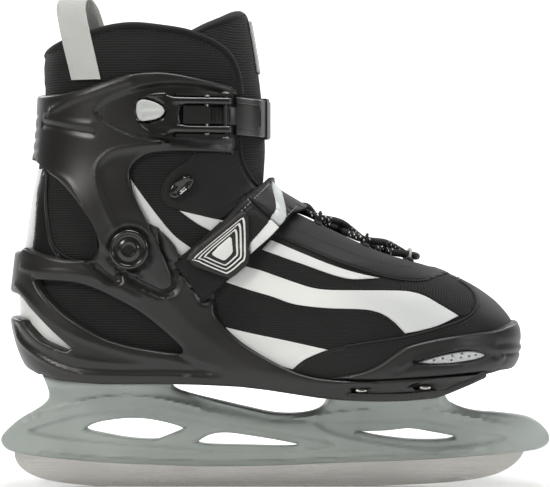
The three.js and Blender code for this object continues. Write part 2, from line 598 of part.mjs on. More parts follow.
function makeBoot() {
  const upperSide = sidePrism(outline(UPPER_RUNS));
  const overSole = aboveFloor(CHASSIS_FLOOR + CLEAR);
  const upper = shell(0, -UPPER_WALL).intersect(upperSide).intersect(overSole).subtract(throat(0));
  // The fixed part of the boot is dished where the leaning cuff presses on it.
  addFootPanels(upper.subtract(notFoot).subtract(cuffSweep()), "boot", BLACK_FABRIC, SKIN_DETAIL);
  addLasted("boot_collar", upper.intersect(shaftZone), BLACK_FABRIC, SKIN_DETAIL);

  const lineDepth = UPPER_WALL + CLEAR + 0.1;
  const lineInner = lineDepth + PADDING;
  const tongueShaft = sidePrism(outline(TONGUE_RUNS));
  const tongueZone = tongueShaft.add(throat(TONGUE_LAP));
  const tongueGap = 2 * CLEAR;
  const tongueClear = sidePrism(grown(outline(TONGUE_RUNS), tongueGap)).add(throat(TONGUE_LAP + tongueGap));
  const linerTop = sidePrism(outline([
    [[-165, 253], [-137.4, 254], [-110, 263], [-82, 268.2], [-50, 264], [-35, 258], [-18, 240]],
    [[-18, 240], [170, 180], [170, 30]],
    [[170, 30], [-165, 30]],
  ]));
  const overBoard = aboveFloor(INSOLE_BASE);
  const liner = shell(-lineDepth, -lineInner).intersect(linerTop).intersect(overBoard).subtract(tongueClear);
  addFootPanels(liner.subtract(notFoot), "liner", LINING, HIDDEN_DETAIL);
  addLasted("liner_collar", liner.intersect(shaftZone), LINING, HIDDEN_DETAIL);

  const upperOver = sidePrism(grown(outline(UPPER_RUNS), CLEAR)).subtract(throat(-CLEAR)).subtract(last(-lineDepth));
  const tongue = shell(-TONGUE_SINK, -lineInner).intersect(tongueZone).subtract(upperOver);
  splitAtAnkle(tongue, "tongue_foot", "tongue_shaft", LINING, HIDDEN_DETAIL);

  const boardBand = sidePrism(bandAbove(BOARD_BASE, BOARD_BASE + BOARD_THICK));
  addLasted("midsole_board", last(-lineDepth).intersect(boardBand), BOARD, HIDDEN_DETAIL);
  const insoleBand = sidePrism(bandAbove(INSOLE_BASE, INSOLE_BASE + INSOLE_THICK));
  addLasted("insole", last(-lineInner - CLEAR - HIDDEN_DETAIL).intersect(insoleBand), LINING, HIDDEN_DETAIL);

  const label = shell(1.0, -TONGUE_SINK + CLEAR).intersect(block(-40, 20, -10, 10, 246, 279));
  addLasted("tongue_label", label, PALE_PLASTIC);
}

// ---------------------------------------------------------------- toe cap
const TOE_CAP_RUNS = [
  [[35, 67.8], [49.9, 70.8], [59.1, 74.6], [68.9, 81.2], [76.3, 85.8], [86.1, 88.7], [100.5, 91.5], [118.2, 93.6],
    [130.7, 95], [141, 98.3], [165, 104]],
  [[165, 104], [165, 70.8]],
  [[165, 70.8], [121, 71], [94.5, 69.2], [71.6, 67.7], [51.5, 67], [35, 67.8]],
];
const VENT_RUNS = [[
  [81.4, 77], [88.9, 79.5], [97.5, 81.7], [106.2, 83.2], [113.3, 83.6], [119.3, 82.4], [123, 80.5], [118.1, 78.5],
  [109.1, 77], [99.2, 76.1], [88.9, 76],
]];
const TOE_CAP_WALL = 3.4;

function makeToeCap() {
  const vent = outline(VENT_RUNS);
  const body = shell(TOE_CAP_WALL + 0.6, 0.6).intersect(sidePrism(outline(TOE_CAP_RUNS)));
  const through = sidePrism(vent).subtract(block(-200, 200, -12, 12, 0, 300));
  addLasted("toe_cap", body.subtract(through), BLACK_RUBBER);
  const insert = shell(2.6, 0.6).intersect(sidePrism(grown(vent, -CLEAR)));
  addLasted("toe_vent_outer", insert.intersect(block(-200, 200, -SIDE, 0, 0, 300)), SILVER_MESH);
  addLasted("toe_vent_inner", insert.intersect(block(-200, 200, 0, SIDE, 0, 300)), SILVER_MESH);
}

// ---------------------------------------------------------------- buckle
// The buckle is laid out level and square, then turned to lie on the cuff: x to the toe, -y outwards.
const buckleMatrix = new THREE.Matrix4();
const buckleGroup = new THREE.Group();
const BUCKLE_SINK = 0.6; // the buckle's flat foot sinks this far into the curved cuff
const cuffFace = halfBreadth(BUCKLE.x, BUCKLE.z, CUFF_HIGH + CUFF_WALL);
buckleGroup.position.set(BUCKLE.x, BUCKLE_SINK - cuffFace, BUCKLE.z);
buckleGroup.rotation.z = THREE.MathUtils.degToRad(BUCKLE.turn);
buckleGroup.updateMatrix();
buckleMatrix.copy(buckleGroup.matrix);
skate.add(buckleGroup);
const buckleSolid = (body) => solid(geometryOf(body).applyMatrix4(buckleMatrix));

const BUCKLE_RIVETS = [-10, 7];
const LEVER_PIVOT = { x: 14, y: -7 };
const PAWL_PIVOT = { x: 3, y: -7.2 };
const LEVER_THICK = 5;
const LEVER_UNDER = -5.2;
const TAB_THICK = 2.6;
const TAB_UNDER = -8.6;
const TAB_WELL = -6.5; // the floor of the lever's pocket for the release tab
// Behind this x the lever and its tab curve in towards the cuff.
const LEVER_BEND = { from: -13, rate: 0.0095 };
const LEVER_HALF = BUCKLE.ears - BUCKLE.earThick - BUCKLE.earGap; // the lever's rails run between the ears
const WING_HALF = BUCKLE.ears + 0.2; // its grip is as wide as the base
const LEVER_RUN = [
  [[-38.2, 2.4], [-37, WING_HALF - 4.6], [-33, WING_HALF - 1.7], [-26.2, WING_HALF - 0.2], [-20, WING_HALF]],
  [[-20, WING_HALF], [-17.5, LEVER_HALF], [17, LEVER_HALF]],
  [[17, LEVER_HALF], [17, 6]],
  [[17, 6], [-9.5, 6], [-12.5, 4], [-13.3, 0], [-12.5, -4], [-9.5, -6], [17, -6]],
  [[17, -6], [17, -LEVER_HALF]],
  [[17, -LEVER_HALF], [-17.5, -LEVER_HALF], [-20, -WING_HALF]],
  [[-20, -WING_HALF], [-30, 2.4 - WING_HALF], [-35.5, -5.8], [-38.2, 2.4]],
];
const TAB_RUN = [[
  [-37.4, 2.2], [-36.9, 6.4], [-34.4, 8.4], [-29, 7.4], [-24.4, 5.2], [-22, 2.1], [-23.6, -0.8], [-27, -2.7],
  [-34.6, -3.6], [-36.8, -0.6],
]];

function makeBuckle() {
  const { plate, ears, earThick, leverPin, pawlPin } = BUCKLE;
  const rivetHole = (body) => BUCKLE_RIVETS.reduce((made, x) => made
    .subtract(bar("y", 1.9, -30, 30, [x, 0, 0], 16))
    .subtract(bar("y", 3.3, -plate - 1, -plate + 1.2, [x, 0, 0], 16)), body);
  const ear = (side) => block(-15, 18.5, -9, 0, Math.min(side * ears, side * (ears - earThick)),
    Math.max(side * ears, side * (ears - earThick)));
  const base = unite(block(-20, 20, -plate, 0, -ears, ears), ear(1), ear(-1));
  const pinHole = bar("z", leverPin / 2 + 0.2, -20, 20, [LEVER_PIVOT.x, LEVER_PIVOT.y, 0], 16);
  addNode("buckle_base", rivetHole(base).subtract(pinHole), BLACK_PLASTIC, buckleGroup);
  BUCKLE_RIVETS.forEach((x, i) => {
    addNode("buckle_rivet_" + (i + 1), unite(
      bar("y", 2.9, -plate + 0.25, -plate + 1.15, [x, 0, 0], 16),
      bar("y", 1.5, -plate + 0.6, 2.2, [x, 0, 0], 16),
    ), STEEL, buckleGroup);
  });
  addNode("lever_pin", bar("z", leverPin / 2, -ears - 1, ears + 1, [LEVER_PIVOT.x, LEVER_PIVOT.y, 0], 16), STEEL,
    buckleGroup);

  // Slats across the lever let its plate bend smoothly.
  const bent = (body) => body.refineToLength(5).warp((v) => {
    v[1] += LEVER_BEND.rate * Math.max(0, LEVER_BEND.from - v[0]) ** 2;
  });
  const plateOf = (points, under, thick) => sidePrism(points, under - thick, under);
  const lever = plateOf(outline(LEVER_RUN), LEVER_UNDER, LEVER_THICK);
  const tabWell = plateOf(grown(outline(TAB_RUN), 0.8), TAB_WELL, 6);
  addNode("buckle_lever", bent(lever.subtract(tabWell))
    .subtract(bar("z", leverPin / 2 + 0.3, -20, 20, [LEVER_PIVOT.x, LEVER_PIVOT.y, 0], 16))
    .subtract(bar("z", pawlPin / 2 + 0.3, -20, 20, [PAWL_PIVOT.x, PAWL_PIVOT.y, 0], 16)), BLACK_PLASTIC, buckleGroup);
  const pinEnd = LEVER_HALF - 0.2;
  addNode("pawl_pin", bar("z", pawlPin / 2, -pinEnd, pinEnd, [PAWL_PIVOT.x, PAWL_PIVOT.y, 0], 16), STEEL, buckleGroup);
  const pawlHole = bar("z", pawlPin / 2 + 0.3, -20, 20, [PAWL_PIVOT.x, PAWL_PIVOT.y, 0], 16);
  const pawl = block(-11, 4.6, -8.9, -5.5, -5.2, 5.2).subtract(pawlHole);
  addNode("ratchet_pawl", pawl, BLACK_PLASTIC, buckleGroup);
  addNode("release_tab", bent(plateOf(outline(TAB_RUN), TAB_UNDER, TAB_THICK)), PALE_PLASTIC, buckleGroup);
}

// ---------------------------------------------------------------- ladder strap
const LADDER_RIVET = { x: -44, z: 219.3 };
function ladderPath() {
  const local = (x, y) => new THREE.Vector3(x, y, 0).applyMatrix4(buckleMatrix);
  const points = [local(-18, -3.7), local(-6, -3.7), local(6, -3.7), local(20, -3.7)];
  const z = BUCKLE.z;
  const over = [[-13.5, 3.8], [-8.6, 2.4]]; // [x, centre's height over the boot]
  for (const [x, lift] of over) points.push(new THREE.Vector3(x, -halfBreadth(x, z, lift), 0));
  points.push(new THREE.Vector3(frontX(z, 1.8), 0, 0));
  for (const [x, lift] of over.reverse()) points.push(new THREE.Vector3(x, halfBreadth(x, z, lift), 0));
  const onCuff = CUFF_HIGH + CUFF_WALL + CLEAR + LADDER.thick / 2 + 0.4;
  for (const x of [-20.5, -28, -40, -56]) points.push(new THREE.Vector3(x, halfBreadth(x, z, onCuff), 0));
  return points.map((p) => new THREE.Vector2(p.x, p.y));
}

function ribbon(path, thick, spans) {
  const line = new THREE.SplineCurve(path).getPoints(spans);
  const offset = (amount) => line.map((p, i) => {
    const a = line[Math.max(i - 1, 0)];
    const b = line[Math.min(i + 1, line.length - 1)];
    const t = b.clone().sub(a).normalize();
    return new THREE.Vector2(p.x + t.y * amount, p.y - t.x * amount);
  });
  return [...offset(thick / 2), ...offset(-thick / 2).reverse()];
}

function makeLadder() {
  const path = ladderPath();
  const plan = ribbon(path, LADDER.thick, 34);
  const { width, sleeve } = LADDER;
  const whole = planPrism(plan, BUCKLE.z - sleeve / 2, BUCKLE.z + sleeve / 2);
  const narrow = planPrism(plan, BUCKLE.z - width / 2, BUCKLE.z + width / 2);
  const outerHalf = block(-200, 200, -200, -20, 0, 300);
  const inBuckle = buckleSolid(block(-60, 21, -20, 20, -20, 20)).intersect(outerHalf);
  const strap = whole.subtract(inBuckle).add(narrow)
    .subtract(bar("y", 2.3, 20, SIDE, [LADDER_RIVET.x, 0, LADDER_RIVET.z], 16));
  addNode("ladder_strap", strap, BLACK_PLASTIC);
  const out = halfBreadth(LADDER_RIVET.x, LADDER_RIVET.z, CUFF_HIGH + CUFF_WALL + LADDER.thick + 2 * CLEAR + 0.9);
  const rivet = unite(
    bar("y", 4.2, out, out + 1.4, [LADDER_RIVET.x, 0, LADDER_RIVET.z], 20),
    bar("y", 1.9, out - 6, out + 1, [LADDER_RIVET.x, 0, LADDER_RIVET.z], 16),
  );
  addNode("ladder_rivet", rivet, STEEL);
}

// ---------------------------------------------------------------- instep strap
const PAD_FROM = WEBBING.from + WEBBING.thick + CLEAR;
const BADGE_FROM = PAD_FROM + PAD_THICK + CLEAR;
const PAD_OUTER = [
  [[40, 185], [7, 158.6]],
  [[7, 158.6], [-13.3, 138.9]],
  [[-13.3, 138.9], [-24.8, 126.1]],
  [[-24.8, 126.1], [-47, 131.5]],
  [[-49.1, 137.1], [-18.5, 167.8]],
  [[-18.5, 167.8], [10, 197]],
];
const PEEL_LINE = { x: -5, z: 163.5, across: [0.73, -0.68] }; // the strap's end peels about this line
const BADGE_RUN = [[[-18.5, 163.7], [-16, 163], [-14.6, 160.5], [-14, 137.5], [-16.7, 132.5], [-24, 126.4],
  [-28.2, 125.9], [-43.2, 131.4], [-48.6, 135.6], [-48.4, 139.5]]];

function makeInstepStrap() {
  const outerSide = block(-200, 200, -SIDE, 0, 0, 300);
  const innerSide = block(-200, 200, 0, SIDE, 0, 300);
  const band = sidePrism(strapBand());
  const webbing = shell(WEBBING.from + WEBBING.thick, WEBBING.from).intersect(band).intersect(outerSide);
  const [ax, az] = PEEL_LINE.across;
  const far = 90;
  const beyond = (gap, side) => sidePrism(outline([[
    [PEEL_LINE.x - az * side * gap - ax * far, PEEL_LINE.z + ax * side * gap - az * far],
    [PEEL_LINE.x - az * side * gap + ax * far, PEEL_LINE.z + ax * side * gap + az * far],
  ], [
    [PEEL_LINE.x - az * side * far + ax * far, PEEL_LINE.z + ax * side * far + az * far],
    [PEEL_LINE.x - az * side * far - ax * far, PEEL_LINE.z + ax * side * far - az * far],
  ]]));
  // The hook-and-loop webbing ends short of the peel line.
  const webStop = beyond(-14, 1);
  addLasted("strap_webbing", webbing.subtract(webStop), BLACK_FABRIC);

  const padShell = shell(PAD_FROM + PAD_THICK, PAD_FROM);
  const padOuter = padShell.intersect(sidePrism(outline(PAD_OUTER))).intersect(outerSide);
  const strapInner = padShell.intersect(band).intersect(innerSide);
  addLasted("instep_strap", strapInner.add(padOuter.intersect(beyond(CLEAR / 2, 1))), BLACK_FABRIC);
  addLasted("strap_end", padOuter.intersect(beyond(CLEAR / 2, -1)), BLACK_FABRIC);
  const badge = shell(BADGE_FROM + BADGE_THICK, BADGE_FROM).intersect(sidePrism(outline(BADGE_RUN)));
  addLasted("strap_badge", badge.intersect(outerSide), BLACK_RUBBER);
}

// ---------------------------------------------------------------- laces and hooks
// The height at which the boot's skin, moved out by `out`, passes over the plan point (x, y).
function heightOver(x, y, out) {
  let low = 90;
  let high = 200;
  for (let k = 0; k < 40; k++) {
    const z = (low + high) / 2;
    if (halfBreadth(x, z, out) > Math.abs(y)) low = z;
    else high = z;
  }
  return low;
}
const LACE_ROWS = [{ x: 80, half: 12 }, { x: 54, half: 13 }, { x: 26, half: 13 }];
const RING = { radius: 3.5, tube: 0.8 };
const LACE_LIFT = RING.radius + RING.tube + 0.9;
const CROSS_LIFT = 4; // extra height of the strand that passes over the other

function lacePath() {
  const at = (x, y, lift) => new THREE.Vector3(x, y, heightOver(x, y, 0) + lift);
  const [toe, mid, top] = LACE_ROWS;
  const crossing = (from, to, over) => at((from.x + to.x) / 2, 0, LACE_LIFT + (over ? CROSS_LIFT : -1.5));
  const hidden = { x: 20, half: 9 };
  return [
    at(hidden.x, hidden.half, LACE_LIFT),
    at(top.x, -top.half, LACE_LIFT),
    crossing(top, mid, true),
    at(mid.x, mid.half, LACE_LIFT),
    crossing(mid, toe, false),
    at(toe.x, -toe.half, LACE_LIFT),
    at(toe.x + 5, 0, LACE_LIFT),
    at(toe.x, toe.half, LACE_LIFT),
    crossing(toe, mid, true),
    at(mid.x, -mid.half, LACE_LIFT),
    crossing(mid, top, false),
    at(top.x, top.half, LACE_LIFT),
    at(hidden.x, -hidden.half, LACE_LIFT),
  ];
}

function makeLaces() {
  const curve = new THREE.CatmullRomCurve3(lacePath(), false, "centripetal");
  const section = new THREE.Shape();
  section.absarc(0, 0, LACE / 2, 0, Math.PI * 2);
  const sweep = { extrudePath: curve, steps: 54, curveSegments: 3, bevelEnabled: false };
  const tube = new THREE.ExtrudeGeometry(section, sweep);
  addLasted("lace", solid(tube), LACE_BLACK);
  // Each ring stands square to the lace that runs through it.
  const rings = [[5, "outer_1"], [7, "inner_1"], [9, "outer_2"], [3, "inner_2"], [1, "outer_3"], [11, "inner_3"]];
  for (const [stop, name] of rings) {
    const t = stop / (curve.points.length - 1);
    const ring = new THREE.TorusGeometry(RING.radius, RING.tube, 4, 12);
    const turn = new THREE.Quaternion().setFromUnitVectors(new THREE.Vector3(0, 0, 1), curve.getTangent(t));
    ring.applyQuaternion(turn);
    ring.translate(...curve.getPoint(t));
    addLasted("lace_ring_" + name, solid(ring), name.endsWith("1") ? PALE_PLASTIC : BLACK_FABRIC);
  }
}

const HOOK = { x: -54.5, z: 178.2, lean: 34, length: 17, width: 9.5 };
function makeLaceHooks() {
  const capsule = (length, width, y0, y1, side) => {
    const shape = new THREE.Shape();
    const r = width / 2;
    const run = (length - width) / 2;
    shape.absarc(run, 0, r, -Math.PI / 2, Math.PI / 2);
    shape.absarc(-run, 0, r, Math.PI / 2, (3 * Math.PI) / 2);
    const g = new THREE.ExtrudeGeometry(shape, { depth: y1 - y0, bevelEnabled: false, curveSegments: 6 });
    g.rotateX(Math.PI / 2).translate(0, side < 0 ? -y0 : y1, 0);
    return solid(g);
  };
  const tilt = THREE.MathUtils.degToRad(HOOK.lean);
  for (const [name, side] of [["outer", -1], ["inner", 1]]) {
    const seat = halfBreadth(HOOK.x, HOOK.z, 0) + 0.9;
    const base = capsule(HOOK.length, HOOK.width, seat, seat + 1.4, side);
    const head = capsule(HOOK.length * 0.62, HOOK.width * 0.7, seat + 1.2, seat + 4, side);
    const g = geometryOf(base.add(head)).rotateY(-tilt).translate(HOOK.x, 0, HOOK.z);
    addNode("lace_hook_" + name, solid(g), BLACK_PLASTIC);
  }
}

// ---------------------------------------------------------------- pull loop
// [out from the boot's skin, height] along the middle of the band.
const LOOP_PATH = [
  [1.9, 240.5], [1.9, 254], [1.7, 266], [0.6, 277], [-2, 285.5], [-5.5, 288.4], [-9, 285.5], [-12, 277],
  [-13.4, 268], [-13.6, 262],
];
const LOOP_LEAN = -0.25; // sideways shift per unit of height
const LOOP_AT = { x: -109, lean: 15 };
function makePullLoop() {
  const section = ribbon(LOOP_PATH.map(([out, z]) => new THREE.Vector2(out, z)), LOOP.thick, 20);
  const g = geometryOf(crossPrism(THREE.ShapeUtils.isClockWise(section) ? section.reverse() : section,
    -LOOP.width / 2, LOOP.width / 2));
  const p = g.attributes.position;
  for (let i = 0; i < p.count; i++) p.setX(i, p.getX(i) + LOOP_LEAN * (p.getZ(i) - LOOP_PATH[0][1]));
  // Turn the band so that +y (out) becomes the boot's outward direction on the outer side.
  g.scale(1, -1, 1);
  const flipped = g.index.array;
  for (let i = 0; i < flipped.length; i += 3) [flipped[i + 1], flipped[i + 2]] = [flipped[i + 2], flipped[i + 1]];
  g.rotateZ(THREE.MathUtils.degToRad(-LOOP_AT.lean));
  g.translate(LOOP_AT.x, -halfBreadth(LOOP_AT.x, LOOP_PATH[0][1]), 0);
  addNode("pull_loop", solid(g), GREY_WEBBING);
}

makeRunner();
makeHolder();
makeRivets();
makeChassis();
makeBoot();
makeToeCap();
makeCuff();
makePivots();
makeBuckle();
makeLadder();
makeInstepStrap();
makeLaces();
makeLaceHooks();
makePullLoop();

export default skate;
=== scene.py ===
"""Builds the looks of a soft-boot ice skate around its packed frame."""

import math

import bmesh
import bpy
import numpy as np
from bpy.props import FloatProperty, FloatVectorProperty, PointerProperty
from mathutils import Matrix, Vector
from mathutils.geometry import delaunay_2d_cdt


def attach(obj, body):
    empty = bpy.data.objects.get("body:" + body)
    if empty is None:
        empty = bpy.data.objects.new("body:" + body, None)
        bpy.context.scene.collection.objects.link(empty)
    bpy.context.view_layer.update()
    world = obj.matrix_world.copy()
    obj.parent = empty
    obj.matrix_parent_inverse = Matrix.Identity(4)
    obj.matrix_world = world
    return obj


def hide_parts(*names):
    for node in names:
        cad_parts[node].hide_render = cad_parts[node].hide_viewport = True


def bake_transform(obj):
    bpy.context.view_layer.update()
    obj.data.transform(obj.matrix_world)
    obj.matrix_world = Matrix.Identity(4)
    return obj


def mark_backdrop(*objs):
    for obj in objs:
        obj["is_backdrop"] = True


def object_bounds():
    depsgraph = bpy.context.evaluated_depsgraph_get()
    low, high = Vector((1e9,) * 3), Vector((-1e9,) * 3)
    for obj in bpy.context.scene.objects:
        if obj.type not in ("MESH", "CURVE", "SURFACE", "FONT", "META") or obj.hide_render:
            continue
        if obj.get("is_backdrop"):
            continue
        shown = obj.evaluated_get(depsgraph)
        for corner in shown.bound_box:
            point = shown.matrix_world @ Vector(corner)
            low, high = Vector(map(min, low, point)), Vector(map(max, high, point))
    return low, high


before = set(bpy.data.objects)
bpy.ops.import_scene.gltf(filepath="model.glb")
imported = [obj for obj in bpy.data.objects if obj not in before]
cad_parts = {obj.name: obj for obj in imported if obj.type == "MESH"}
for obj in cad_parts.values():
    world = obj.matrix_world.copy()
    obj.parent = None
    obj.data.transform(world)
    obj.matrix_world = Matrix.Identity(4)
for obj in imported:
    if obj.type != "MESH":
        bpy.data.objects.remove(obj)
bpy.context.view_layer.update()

bl_info = {
    "name": "Soft-boot ice skate",
    "version": (1, 0, 0),
    "blender": (4, 5, 0),
    "location": "3D View > Sidebar > Skate",
    "description": "Builds an ice skate piece by piece, each piece from its own button",
    "category": "Object",
}

MM = 0.001
# Distances out from the boot's skin, in millimetres: minus is towards the foot.
UPPER_WALL = 2.5
LINING_OUT, LINING_IN = -3.0, -8.3
TONGUE_OUT, TONGUE_IN = -1.2, -8.0
CHASSIS_IN, CHASSIS_OUT, CHASSIS_FLOOR = 0.6, 6.0, 4.5
CUFF_LOW, CUFF_HIGH, CUFF_WALL = 3.9, 1.4, 3.3
STRAP_IN, STRAP_OUT = 4.0, 6.2
PIVOT = (-84.0, 142.0)
BUCKLE_AT = (-44.0, 219.3)
BUCKLE_TURN = math.radians(14)
# How a flat pattern is laid on the last: over the foot it is longer than round the ankle.
ON_FOOT = dict(span=330, reach=1.5)
ON_ANKLE = dict(span=230)
ONE_SIDE = dict(span=230, mirror=False)

# ---------------------------------------------------------------- the boot's outer skin
HEEL_LINE = [
    (50, -118), (60, -128), (65, -134), (70, -140.4), (75.6, -144), (81.6, -147), (88.8, -149.5),
    (100, -151.8), (112, -152.2), (130, -150.5), (148, -148.2), (172, -144.6), (188, -141.6),
    (214, -138.6), (235, -137.4), (292, -137.4),
]
FRONT_LINE = [
    (50, 92), (55, 98), (58, 103), (62, 112), (65, 119), (68, 125), (70, 133), (73, 139), (78, 142.5),
    (84, 143.9), (92, 143.6), (99, 141), (108.6, 133.5), (117.6, 122), (124.2, 110), (129.6, 98),
    (133.5, 88), (137.4, 74), (141.6, 61.8), (147.6, 48.6), (154.8, 33.6), (160.8, 21), (168, 7),
    (174, -2), (181, -6.2), (201.6, -5), (213.6, -5.4), (237.6, -7.8), (255.6, -10.2), (276.6, -13.8),
    (292, -16.5),
]
SOLE_BREADTH = [(-150, 37), (-110, 37.5), (-50, 37), (0, 43), (50, 49.5), (100, 49), (145, 45)]
SHAFT_BREADTH = [(-150, 40), (-75, 43), (0, 38), (50, 43), (100, 45), (145, 45)]
BREADTH_SHARE = [(50, 0.86), (58, 0.93), (66, 0.98), (74, 1), (292, 1)]
HEEL_ROUND = [(50, 42), (150, 43), (200, 48), (292, 48)]
FRONT_ROUND = [(50, 50), (95, 50), (110, 60), (125, 75), (150, 75), (165, 62), (180, 54), (200, 60),
               (292, 62)]
ROUND_POWER = 2.3
TOE_SWING, TOE_REACH = 6.0, 145.0
SOLE_LINE = [
    (-136, 68.6), (-126, 65.6), (-102, 64), (-62, 63.8), (-43, 63.4), (-20, 62.4), (-3, 60.6), (15, 58.2),
    (31, 56), (42, 55), (57, 54.4), (75, 54.6), (93, 55.8), (99, 57.2), (110, 61.6), (120, 66.4), (150, 70),
]


def along(knots, at):
    """A smooth, monotone curve through (at, value) knots."""
    x, y = np.asarray(knots, float).T
    d = np.diff(y) / np.diff(x)
    both = d[:-1] * d[1:]
    m = np.zeros(len(x))
    m[1:-1] = np.where(both > 0, 2 * both / np.where(both > 0, d[:-1] + d[1:], 1), 0)
    at = np.clip(at, x[0], x[-1])
    i = np.clip(np.searchsorted(x, at, side="right") - 1, 0, len(x) - 2)
    h = x[i + 1] - x[i]
    t = (at - x[i]) / h
    return (
        (2 * t**3 - 3 * t**2 + 1) * y[i] + (t**3 - 2 * t**2 + t) * h * m[i]
        + (3 * t**2 - 2 * t**3) * y[i + 1] + (t**3 - t**2) * h * m[i + 1]
    )


def ease(t):
    """From 0 to 1, level at both ends."""
    t = np.clip(t, 0, 1)
    return t * t * (3 - 2 * t)


def unit(v):
    """Rows of vectors, each made one long."""
    v = np.asarray(v, float)
    return v / np.maximum(np.linalg.norm(v, axis=-1, keepdims=True), 1e-9)


def distance_run(p):
    """The distance along a path of points, at each of them."""
    return np.r_[0, np.cumsum(np.linalg.norm(np.diff(p, axis=0), axis=1))]


def full_turn(sides):
    return np.arange(sides) / sides * 2 * math.pi


def circle(centre, radius, sides=48, flat=1.0):
    """Points of a circle, or of an ellipse where flat isn't 1, around an (x, z) centre."""
    t = full_turn(sides)
    return np.c_[centre[0] + radius * np.cos(t), centre[1] + radius * flat * np.sin(t)]


def sole_z(x):
    return np.interp(x, *np.asarray(SOLE_LINE).T)


LEVEL_AXIS = np.arange(40, 300.5, 0.5)
OUT_AXIS = np.arange(-16.0, 13.0, 1.0)


def _moved_table(line, side):
    """The line's x over height, for each distance it is moved out along its own normal."""
    z, x = np.asarray(line, float).T
    dz = np.r_[z[1] - z[0], z[2:] - z[:-2], z[-1] - z[-2]]
    dx = np.r_[x[1] - x[0], x[2:] - x[:-2], x[-1] - x[-2]]
    n = np.hypot(dz, dx)
    rows = []
    for out in OUT_AXIS:
        zz = np.maximum.accumulate(z - side * out * dx / n + np.arange(len(z)) * 1e-4)
        rows.append(along(np.c_[zz + np.arange(len(z)) * 1e-6, x + side * out * dz / n], LEVEL_AXIS))
    return np.array(rows)


HEEL_TABLE, FRONT_TABLE = _moved_table(HEEL_LINE, -1), _moved_table(FRONT_LINE, 1)


def _look(table, z, out):
    i = np.clip((np.asarray(out, float) - OUT_AXIS[0]), 0, len(OUT_AXIS) - 1.001)
    j = np.clip((np.asarray(z, float) - LEVEL_AXIS[0]) * 2, 0, len(LEVEL_AXIS) - 1.001)
    i, j = np.broadcast_arrays(i, j)
    a, b = i.astype(int), j.astype(int)
    s, t = i - a, j - b
    return (
        (1 - s) * ((1 - t) * table[a, b] + t * table[a, b + 1])
        + s * ((1 - t) * table[a + 1, b] + t * table[a + 1, b + 1])
    )


def heel_x(z, out=0.0):
    """The x of the skin's midline at the heel and the back of the shaft."""
    return _look(HEEL_TABLE, z, out)


def front_x(z, out=0.0):
    """The x of the skin's midline at the toe and the shin."""
    return _look(FRONT_TABLE, z, out)


def half_breadth(x, z, out=0.0):
    """Half the boot's breadth at (x, z), out millimetres outside its skin."""
    up = ease((z - 80) / 90)
    full = ((1 - up) * along(SOLE_BREADTH, x) + up * along(SHAFT_BREADTH, x)) * along(BREADTH_SHARE, z) + out

    def cap(u):
        return (1 - (1 - np.clip(u, 0, 1)) ** ROUND_POWER) ** (1 / ROUND_POWER)

    return (
        full * cap((x - heel_x(z, out)) / (along(HEEL_ROUND, z) + out))
        * cap((front_x(z, out) - x) / (along(FRONT_ROUND, z) + out))
    )


def toe_bend(x):
    """How far the boot's midline swings inwards towards the toe."""
    return TOE_SWING * (np.maximum(x, 0) / TOE_REACH) ** 2


def height_over(x, y, out=0.0):
    """The height at which the skin passes over the plan point (x, y)."""
    low, high = np.full(np.shape(x), 90.0), np.full(np.shape(x), 200.0)
    for _ in range(40):
        z = (low + high) / 2
        over = half_breadth(x, z, out) > np.abs(y)
        low, high = np.where(over, z, low), np.where(over, high, z)
    return low


# ---------------------------------------------------------------- outlines
def curve(points, step=2.0):
    """Points of a smooth curve about step millimetres apart."""
    p = np.asarray(points, float)
    made = []
    for i in range(len(p) - 1):
        n = max(1, math.ceil(np.linalg.norm(p[i + 1] - p[i]) / step))
        t = (np.arange(n) / n)[:, None]
        if len(p) == 2:
            made.append(p[i] + t * (p[i + 1] - p[i]))
            continue
        v0 = (p[i + 1] - p[max(i - 1, 0)]) / 2
        v1 = (p[min(i + 2, len(p) - 1)] - p[i]) / 2
        cubic, square = 2 * (p[i] - p[i + 1]) + v0 + v1, 3 * (p[i + 1] - p[i]) - 2 * v0 - v1
        made.append(cubic * t**3 + square * t**2 + v0 * t + p[i])
    return np.vstack(made + [p[-1:]])


def outline(*runs, step=2.0):
    """A closed outline of smooth runs that meet at corners."""
    p = np.vstack([curve(r, step) for r in runs])
    keep = np.linalg.norm(p - np.roll(p, -1, 0), axis=1) > 0.05
    return p[keep]


def respaced(loop, step):
    """A closed loop with points no further apart than step, its corners kept."""
    out = []
    for a, b in zip(loop, np.roll(loop, -1, 0)):
        n = max(1, math.ceil(np.linalg.norm(b - a) / step))
        out.append(a + (np.arange(n) / n)[:, None] * (b - a))
    return np.vstack(out)


def inside(points, loop):
    """Which points lie inside a closed loop."""
    x, y = points[:, 0, None], points[:, 1, None]
    a, b = loop, np.roll(loop, -1, 0)
    crosses = (a[:, 1] > y) != (b[:, 1] > y)
    rise = b[:, 1] - a[:, 1]
    t = (y - a[:, 1]) / np.where(rise == 0, 1e-9, rise)
    return (crosses & (x < a[:, 0] + t * (b[:, 0] - a[:, 0]))).sum(1) % 2 == 1


def nearest(points, a, b):
    """Distance to the nearest of the segments a-b, and which side of it: + is left of its direction."""
    gap, side = np.full(len(points), 1e9), np.zeros(len(points))
    ab = b - a
    size = np.maximum((ab**2).sum(1), 1e-12)
    for at in range(0, len(points), 1500):
        p = points[at : at + 1500, None, :]
        t = np.clip(((p - a) * ab).sum(2) / size, 0, 1)
        d = p - (a + t[..., None] * ab)
        r = np.hypot(d[..., 0], d[..., 1])
        k = r.argmin(1)
        i = np.arange(len(k))
        gap[at : at + 1500] = r[i, k]
        side[at : at + 1500] = np.sign(ab[k, 0] * d[i, k, 1] - ab[k, 1] * d[i, k, 0])
    return gap, side


